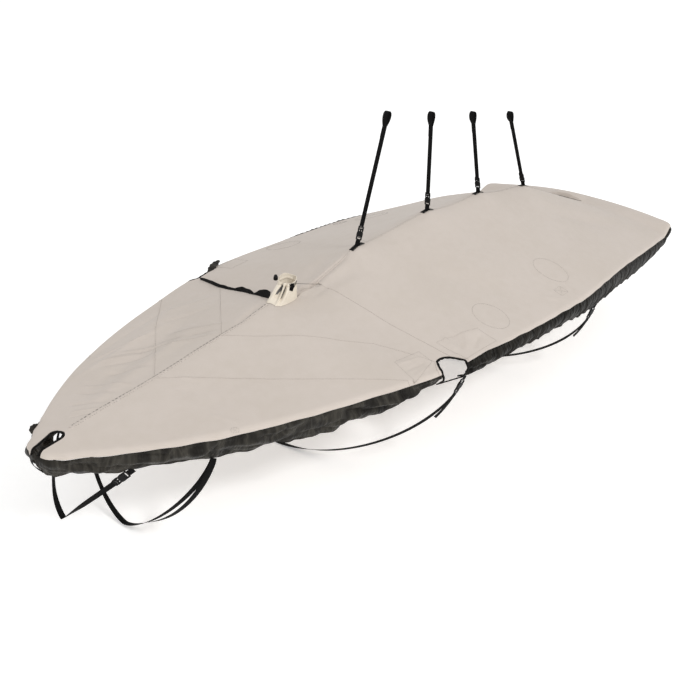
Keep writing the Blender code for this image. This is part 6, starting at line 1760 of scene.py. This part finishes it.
def hull_strap_parts(strap):
    """Tab, buckle, strap and tail from hem to hem: in section a quarter of a swollen ellipse a side.

    y is the hem's y times |sin a| ** p and z falls by |cos a| ** p, with p = 2 / fullness.
    """
    hem_x, keel_x, keel_z, fullness, tab, tail, tail_sag, tail_end = strap
    width, thick = settings().webbing_width, settings().webbing_thickness
    nearby = float(girth_at(hem_x)) + np.linspace(-0.5, 0.5, 5) * width
    hems = over_edge(nearby, hem(nearby, PORT), PORT)
    line = unit(hems[0] - hems[-1])
    outwards = plan(nearby[2])[1]
    start = hems[2] - np.array([*outwards, 0.0]) * STRAP_INSET
    start[2] = under_hem(nearby, PORT, line)
    lower = start[2] - under_hem(nearby, STARBOARD, line * np.array([1.0, -1.0, 1.0]))
    angle = np.linspace(math.pi / 2, -math.pi / 2, 241)
    power = 2 / fullness
    y = start[1] * np.sign(np.sin(angle)) * np.abs(np.sin(angle)) ** power
    z = start[2] - (start[2] - keel_z) * np.abs(np.cos(angle)) ** power
    z = z - lower * (1 - y / start[1]) / 2
    girth = run_along(np.column_stack([y, z]))
    x = start[0] + (keel_x - start[0]) * np.sin(math.pi * girth / girth[-1])
    fine = np.stack([x, y, z], axis=-1)
    run = run_along(fine)

    def at(distance):
        return read_at(distance, run, fine)

    def faces_at(path):
        way = unit(np.gradient(path, axis=0))
        beside = np.clip(path[:, 1:2] / start[1], -1.0, 1.0)
        twist = STRAP_TWIST * (hem_x < TWIST_FROM) * ease((1 - np.abs(beside[:, 0])) / TWIST_RUN)
        lie = np.column_stack([np.full(len(path), line[0]), line[1] * np.sign(beside[:, 0]), twist])
        share = ease(np.abs(beside) / STRAP_LIE)
        return np.cross(unit(np.array([1.0, 0, 0]) * (1 - share) + share * lie), way)

    oval = flat_oval(width, thick)
    past = tab + BUCKLE_LENGTH + 2 * STRAP_DROP if tab else 0.0
    made = {}
    along = unit(at(past + STRAP_LEAD) - start)
    if tab:
        pair = start + along * np.linspace(0, tab, 6)[:, None]
        made["tab"] = [sweep(pair, faces_at(pair), oval)]
        made["buckle"] = buckle_parts(start + along * (past + tab) / 2, along, faces_at(pair)[0])
    lead = start + along * (past + np.linspace(0, STRAP_LEAD, 4))[:, None]
    path = np.vstack([lead, at(np.linspace(past + STRAP_BEND, run[-1] - 0.001, 90))])
    made[""] = [sweep(path, faces_at(path), oval)]
    if tail:
        steps = past + np.linspace(STRAP_BEND, tail, 40)
        tail_path = np.vstack([lead, at(steps)])
        share = np.linspace(0, 1, len(tail_path))[:, None]
        normal = faces_at(tail_path)
        off = thick + TAIL_OFF + tail_end * share + tail_sag * np.sin(math.pi * share)
        made["tail"] = [sweep(tail_path + normal * off, normal, oval)]
    return made


# ================================================================ what a user may change
def colour(label, value, note):
    """Colour that a user may change."""
    return FloatVectorProperty(name=label, description=note, default=value, size=3, min=0.0, max=1.0,
                               subtype="COLOR")


def size(label, value, note):
    """Length in metres that a user may change."""
    return FloatProperty(name=label, description=note, default=value, min=0.0001, max=0.1,
                         subtype="DISTANCE", unit="LENGTH", precision=4)


class DinghyCoverSettings(PropertyGroup):
    """Colours and sizes of the cover's cloth, webbing and thread."""
    canvas_colour: colour("Canvas", (0.5368, 0.4775, 0.4294), "Colour of the clean canvas")
    collar_colour: colour("Collar", (0.760, 0.700, 0.605), "Colour of the canvas round the mast")
    nylon_colour: colour("Skirt", (0.0085, 0.0073, 0.0060), "Colour of the nylon skirt")
    webbing_colour: colour("Webbing", (0.0045, 0.0045, 0.0048), "Colour of straps and tabs")
    binding_colour: colour("Binding", (0.0060, 0.0052, 0.0046), "Colour of the tape round the openings")
    plastic_colour: colour("Buckles", (0.0045, 0.0045, 0.0048), "Colour of the moulded buckles")
    # Dark thread colour: partly the thread's own, partly painted shade of the needle holes.
    thread_colour: colour("Thread", (0.100, 0.088, 0.078), "Colour of the sewing thread")
    canvas_thickness: size("Canvas thickness", 0.0020, "Thickness of the two-ply canvas")
    nylon_thickness: size("Skirt thickness", 0.0014, "Thickness of the nylon skirt")
    webbing_width: size("Webbing width", WEBBING_WIDTH, "Width of the straps")
    webbing_thickness: size("Webbing thickness", WEBBING_THICK, "Thickness of the straps")
    weave_pitch: size("Weave pitch", 0.0011, "Distance between two threads of the canvas")
    stitch_pitch: size("Stitch pitch", 0.0056, "Distance between two stitches of a seam")
    light_power: FloatProperty(name="Light", description="Strength of the main light", default=1.0,
                               min=0.1, max=4.0, subtype="FACTOR")
    camera_lens: IntProperty(name="Lens", description="Focal length of the camera in millimetres",
                             default=50, min=20, max=200)


class DINGHY_OT_canvas_panels(Operator):
    """Eight canvas panels over the tent, rolled over the gunwale, with the slit cut near the stern"""
    bl_idname = "dinghy.canvas_panels"
    bl_label = "Canvas panels"

    def execute(self, context):
        cutter = slit_cutter()
        for name, grid in panel_grids().items():
            part = shell(grid, settings().canvas_thickness, canvas_chart(grid))
            made = piece(name, [part], "canvas", [name])
            if name.startswith("panel_aft"):
                cut_slit(made, cutter)
            declare_cloth(made)
        bpy.data.objects.remove(cutter, do_unlink=True)
        return {"FINISHED"}


class DINGHY_OT_skirts(Operator):
    """Nylon skirt in five pieces, gathered by the elastic in its hem aft of the mast"""
    bl_idname = "dinghy.skirts"
    bl_label = "Skirt"

    def execute(self, context):
        thick = skirt_thickness(settings().nylon_thickness)
        for name, (grid, chart) in skirt_parts().items():
            # Aft and transom pieces get the darker copy of the nylon: painted shade.
            made = piece(name, [shell(grid, thick, chart)], "nylon" if "fore" in name else "nylon_aft",
                         [name])
            declare_cloth(made)
        return {"FINISHED"}


class DINGHY_OT_seams(Operator):
    """Felled seams along the ridge and across the cover, with their rows of stitches"""
    bl_idname = "dinghy.seams"
    bl_label = "Seams"

    def execute(self, context):
        pitch = settings().stitch_pitch
        strips = [laid_strip([(x, 0.0) for x in ends], 1.0, widths, lift, pucker=pucker)
                  for ends, widths, lift, pucker in RIDGE_STRIPS]
        piece("ridge_seam", strips, "canvas")
        rows = []
        # The wide starboard row of the forward strip paints the shaded crease beside the seam.
        for strip, way, beside, lift, long, wide, apart in RIDGE_ROWS:
            run = np.column_stack([np.linspace(*RIDGE_STRIPS[strip][0], 40),
                                   way * np.linspace(*beside, 40)])
            rows.append(stitches(*on_skin(run, 1.0, lift), length=long, width=wide,
                                 pitch=apart or pitch))
        piece("ridge_stitches", rows, "dark_thread")
        paths = [seam_path(SEAM_B[word], SEAM_B_EDGE[word], side) for word, side in SIDES.items()]
        paths += [seam_path(SEAM_C[word], CUTOUTS[word][0] + CUTOUT_SEAM_OFF, side, [CUTOUTS[word][1]])
                  for word, side in SIDES.items()]
        paths.append(seam_path(SEAM_D, CUTOUTS["port"][3] - CUTOUT_SEAM_OFF, PORT,
                               [CUTOUTS["port"][2]]))
        bands, rows = [], []
        for points, normal in paths:
            bands.append(sweep(points, normal, flat_oval(CROSS_WIDTH, CROSS_THICK, 10)))
            beside = np.cross(unit(np.gradient(points, axis=0)), normal) * CROSS_BESIDE
            rows.append(stitches(points + beside + normal * CROSS_ABOVE, normal, pitch=pitch))
        piece("cross_seams", bands, "canvas")
        piece("cross_stitches", rows, "dark_thread")
        return {"FINISHED"}


class DINGHY_OT_patches(Operator):
    """Patches beside the cutouts, two stitched rings and the boxes sewn over the strap ends"""
    bl_idname = "dinghy.patches"
    bl_label = "Patches"

    def execute(self, context):
        sheets, rows = [], []
        for side, corners in PATCHES:
            sheets.append(patch(corners, side))
            rows.append(stitches(*on_skin(outline(corners, 0.05), side, 0.0010, 0.003),
                                 width=0.0008, length=0.0028, pitch=settings().stitch_pitch))
        piece("canvas_patches", sheets, "canvas")
        for x, y, radius in CIRCLES:
            for side in SIDES.values():
                rows.append(stitches(*on_skin(ring_line((x, y), radius), side, 0.0004, 0.003),
                                     pitch=settings().stitch_pitch))
        rows += [run for box in BOXES for side in SIDES.values() for run in box_stitch(*box, side)]
        piece("patch_stitches", rows, "dark_thread")
        return {"FINISHED"}


class DINGHY_OT_bindings(Operator):
    """Tape round the bow slot and both shroud cutouts, the closing band, slit lips and stem strip"""
    bl_idname = "dinghy.bindings"
    bl_label = "Bindings and closure"

    def execute(self, context):
        path, normal = slot_rim()
        piece("binding_slot", [binding(path, normal, -1.0, False)], "binding_tape",
              ["binding_slot"])
        for word, side in SIDES.items():
            path, normal = cutout_rim(word, side)
            name = f"binding_cutout_{word}"
            piece(name, [binding(path, normal, side, True)], "binding_tape", [name])
        piece("closure_flap", [closure_band()], "webbing", ["closure_flap"])
        line_y = np.linspace(*TAPE_SPAN, 60)
        under = np.column_stack([closure_line(line_y) - TAPE_OFF, line_y])
        piece("closure_tape", [laid_strip(under, STARBOARD, TAPE_WIDTHS, TAPE_LIFT)], "webbing")
        piece("gathered_edge", gathered_edge(), "nylon")
        fore_lip, aft_lip = slit_lips()
        # The fore lip takes the black tape finish, painted shade in the slit's gap.
        piece("slit_tape", [fore_lip], "binding_tape")
        piece("slit_lips", [aft_lip], "canvas")
        girths = np.full(9, STEM_STRIP_GIRTH)
        start, end = reach(girths, STARBOARD), hem(girths, STARBOARD)
        strip = over_edge(girths, start + (end - start) * np.linspace(0.30, 1.0, 9), STARBOARD)
        face = np.tile((1.0, -0.15, 0.0), (9, 1))
        oval = flat_oval(STEM_STRIP_WIDTH, STEM_STRIP_THICK)
        piece("stem_strip", [sweep(strip + face * 0.0016, face, oval)], "webbing",
              ["stem_strip"])
        return {"FINISHED"}


class DINGHY_OT_mast_collar(Operator):
    """Collar of canvas round the mast, with its tab, its drawn elastic and the cord lock"""
    bl_idname = "dinghy.mast_collar"
    bl_label = "Mast collar"

    def execute(self, context):
        made = piece("mast_collar", [collar_shell(settings().canvas_thickness * 0.8)],
                     "collar_canvas", ["mast_collar"], sharp=50)
        declare_cloth(made)
        tab, out = collar_spot(TAB_BEARING, np.linspace(*TAB_LEVELS, 14), 0.0022)
        piece("collar_tab", [sweep(tab, out, flat_oval(TAB_WIDTH, WEBBING_THICK))], "webbing",
              ["collar_tab"])
        # Dark patches in the deepest folds: painted shade.
        piece("collar_gaps", collar_gaps(), "collar_shade")
        turn = np.linspace(*np.radians(ELASTIC_BEARINGS), 60)
        sag = ELASTIC_LEVEL - ELASTIC_SAG * np.sin(math.pi * np.linspace(0, 1, 60)) ** ELASTIC_POWER
        loop, out = collar_spot(turn, sag, 0.0026)
        cord = flat_oval(ELASTIC_THICK, ELASTIC_THICK, 8, 1.0)
        piece("collar_elastic", [sweep(loop, out, cord)], "binding_tape")
        middle, _ = collar_spot(LOCK_BEARING, 1.0, LOCK_OFF)
        middle[2] = COLLAR_TOP_Z - LOCK_DROP
        level, wide = LOCK_PROFILE.T
        points, faces, chart = turned(wide * LOCK_RADIUS, level * LOCK_HEIGHT)
        piece("collar_cord_lock", [(points + middle, faces, chart)], "plastic",
              ["collar_cord_lock"])
        return {"FINISHED"}


class DINGHY_OT_lift_straps(Operator):
    """Four lift straps on the ridge, each a sewn foot, a buckle and webbing with a loop"""
    bl_idname = "dinghy.lift_straps"
    bl_label = "Lift straps"

    def execute(self, context):
        rows = []
        for number, lift in enumerate(LIFTS, start=1):
            foot, stitch, buckle, strap = lift_parts(lift)
            word = f"lift_{number}"
            piece(f"{word}_foot", foot, "webbing", [f"{word}_foot"])
            piece(f"{word}_buckle", buckle, "plastic", [f"{word}_buckle"], sharp=35)
            piece(f"{word}_strap", strap, "webbing", [f"{word}_strap"])
            rows.extend(stitch)
        piece("lift_stitches", rows, "pale_thread")
        return {"FINISHED"}


class DINGHY_OT_hull_straps(Operator):
    """Four straps from hem to hem under the hull, with their tabs, buckles and loose tails"""
    bl_idname = "dinghy.hull_straps"
    bl_label = "Hull straps"

    def execute(self, context):
        for word, strap in HULL_STRAPS.items():
            for part, meshes in hull_strap_parts(strap).items():
                name = f"strap_{word}_{part}" if part else f"strap_{word}"
                kind = "plastic" if part == "buckle" else "webbing"
                piece(name, meshes, kind, [name], sharp=35)
        return {"FINISHED"}


class DINGHY_OT_stage(Operator):
    """Pale floor, soft studio light and the camera"""
    bl_idname = "dinghy.stage"
    bl_label = "Stage"

    def execute(self, context):
        scene = context.scene
        scene.view_settings.view_transform = "Standard"
        corner = np.array([(-1, -1), (1, -1), (1, 1), (-1, 1)]) * FLOOR_REACH
        level = np.full(4, CAD_BOX[0][2] - FLOOR_DROP)
        mesh = bpy.data.meshes.new("floor")
        mesh.from_pydata(np.column_stack([corner, level]).tolist(), [], [(0, 1, 2, 3)])
        mesh.materials.append(material("stage_floor"))
        floor = bpy.data.objects.new("floor", mesh)
        scene.collection.objects.link(floor)
        world = bpy.data.worlds.new("studio")
        world.use_nodes = True
        tree = world.node_tree
        sky = tree.nodes["Background"]
        sky.inputs["Color"].default_value = (1.0, 1.0, 1.0, 1.0)
        seen = node(tree, "ShaderNodeLightPath").outputs["Is Camera Ray"]
        tree.links.new(math_node(tree, "MULTIPLY_ADD", seen, BACKDROP_STRENGTH, WORLD_STRENGTH),
                       sky.inputs["Strength"])
        scene.world = world
        for label, place, width, watts in LIGHTS:
            lamp = bpy.data.lights.new(label, "AREA")
            lamp.energy, lamp.size = watts * settings().light_power, width
            made = bpy.data.objects.new(label, lamp)
            made.location = place
            made.rotation_euler = (-Vector(place)).to_track_quat("-Z", "Y").to_euler()
            scene.collection.objects.link(made)
        lens = bpy.data.cameras.new("camera")
        lens.lens, lens.sensor_width, lens.clip_end = settings().camera_lens, SENSOR_WIDTH, CLIP_END
        camera = bpy.data.objects.new("camera", lens)
        turn = Matrix(CAMERA_AXES).transposed().to_4x4()
        camera.matrix_world = Matrix.Translation(CAMERA_PLACE) @ turn
        scene.collection.objects.link(camera)
        scene.camera = camera
        return {"FINISHED"}


class DINGHY_PT_cover(Panel):
    """Builders of the cover, in the order in which they run"""
    bl_idname = "DINGHY_PT_cover"
    bl_label = "Dinghy Cover"
    bl_space_type = "VIEW_3D"
    bl_region_type = "UI"
    bl_category = "Dinghy Cover"

    def draw(self, context):
        column = self.layout.column(align=True)
        for label in DinghyCoverSettings.__annotations__:
            column.prop(context.scene.dinghy_cover, label)
        for operator in BUILDERS:
            column.operator(operator.bl_idname)


BUILDERS = (DINGHY_OT_canvas_panels, DINGHY_OT_skirts, DINGHY_OT_seams, DINGHY_OT_patches,
            DINGHY_OT_bindings, DINGHY_OT_mast_collar, DINGHY_OT_lift_straps, DINGHY_OT_hull_straps,
            DINGHY_OT_stage)
CLASSES = (DinghyCoverSettings, *BUILDERS, DINGHY_PT_cover)


def register():
    for made in CLASSES:
        register_class(made)
    bpy.types.Scene.dinghy_cover = PointerProperty(type=DinghyCoverSettings)


def unregister():
    del bpy.types.Scene.dinghy_cover
    for made in reversed(CLASSES):
        unregister_class(made)


def main():
    register()
    for operator in BUILDERS:
        group_name, name = operator.bl_idname.split(".")
        getattr(getattr(bpy.ops, group_name), name)()


if __name__ == "__main__":
    main()
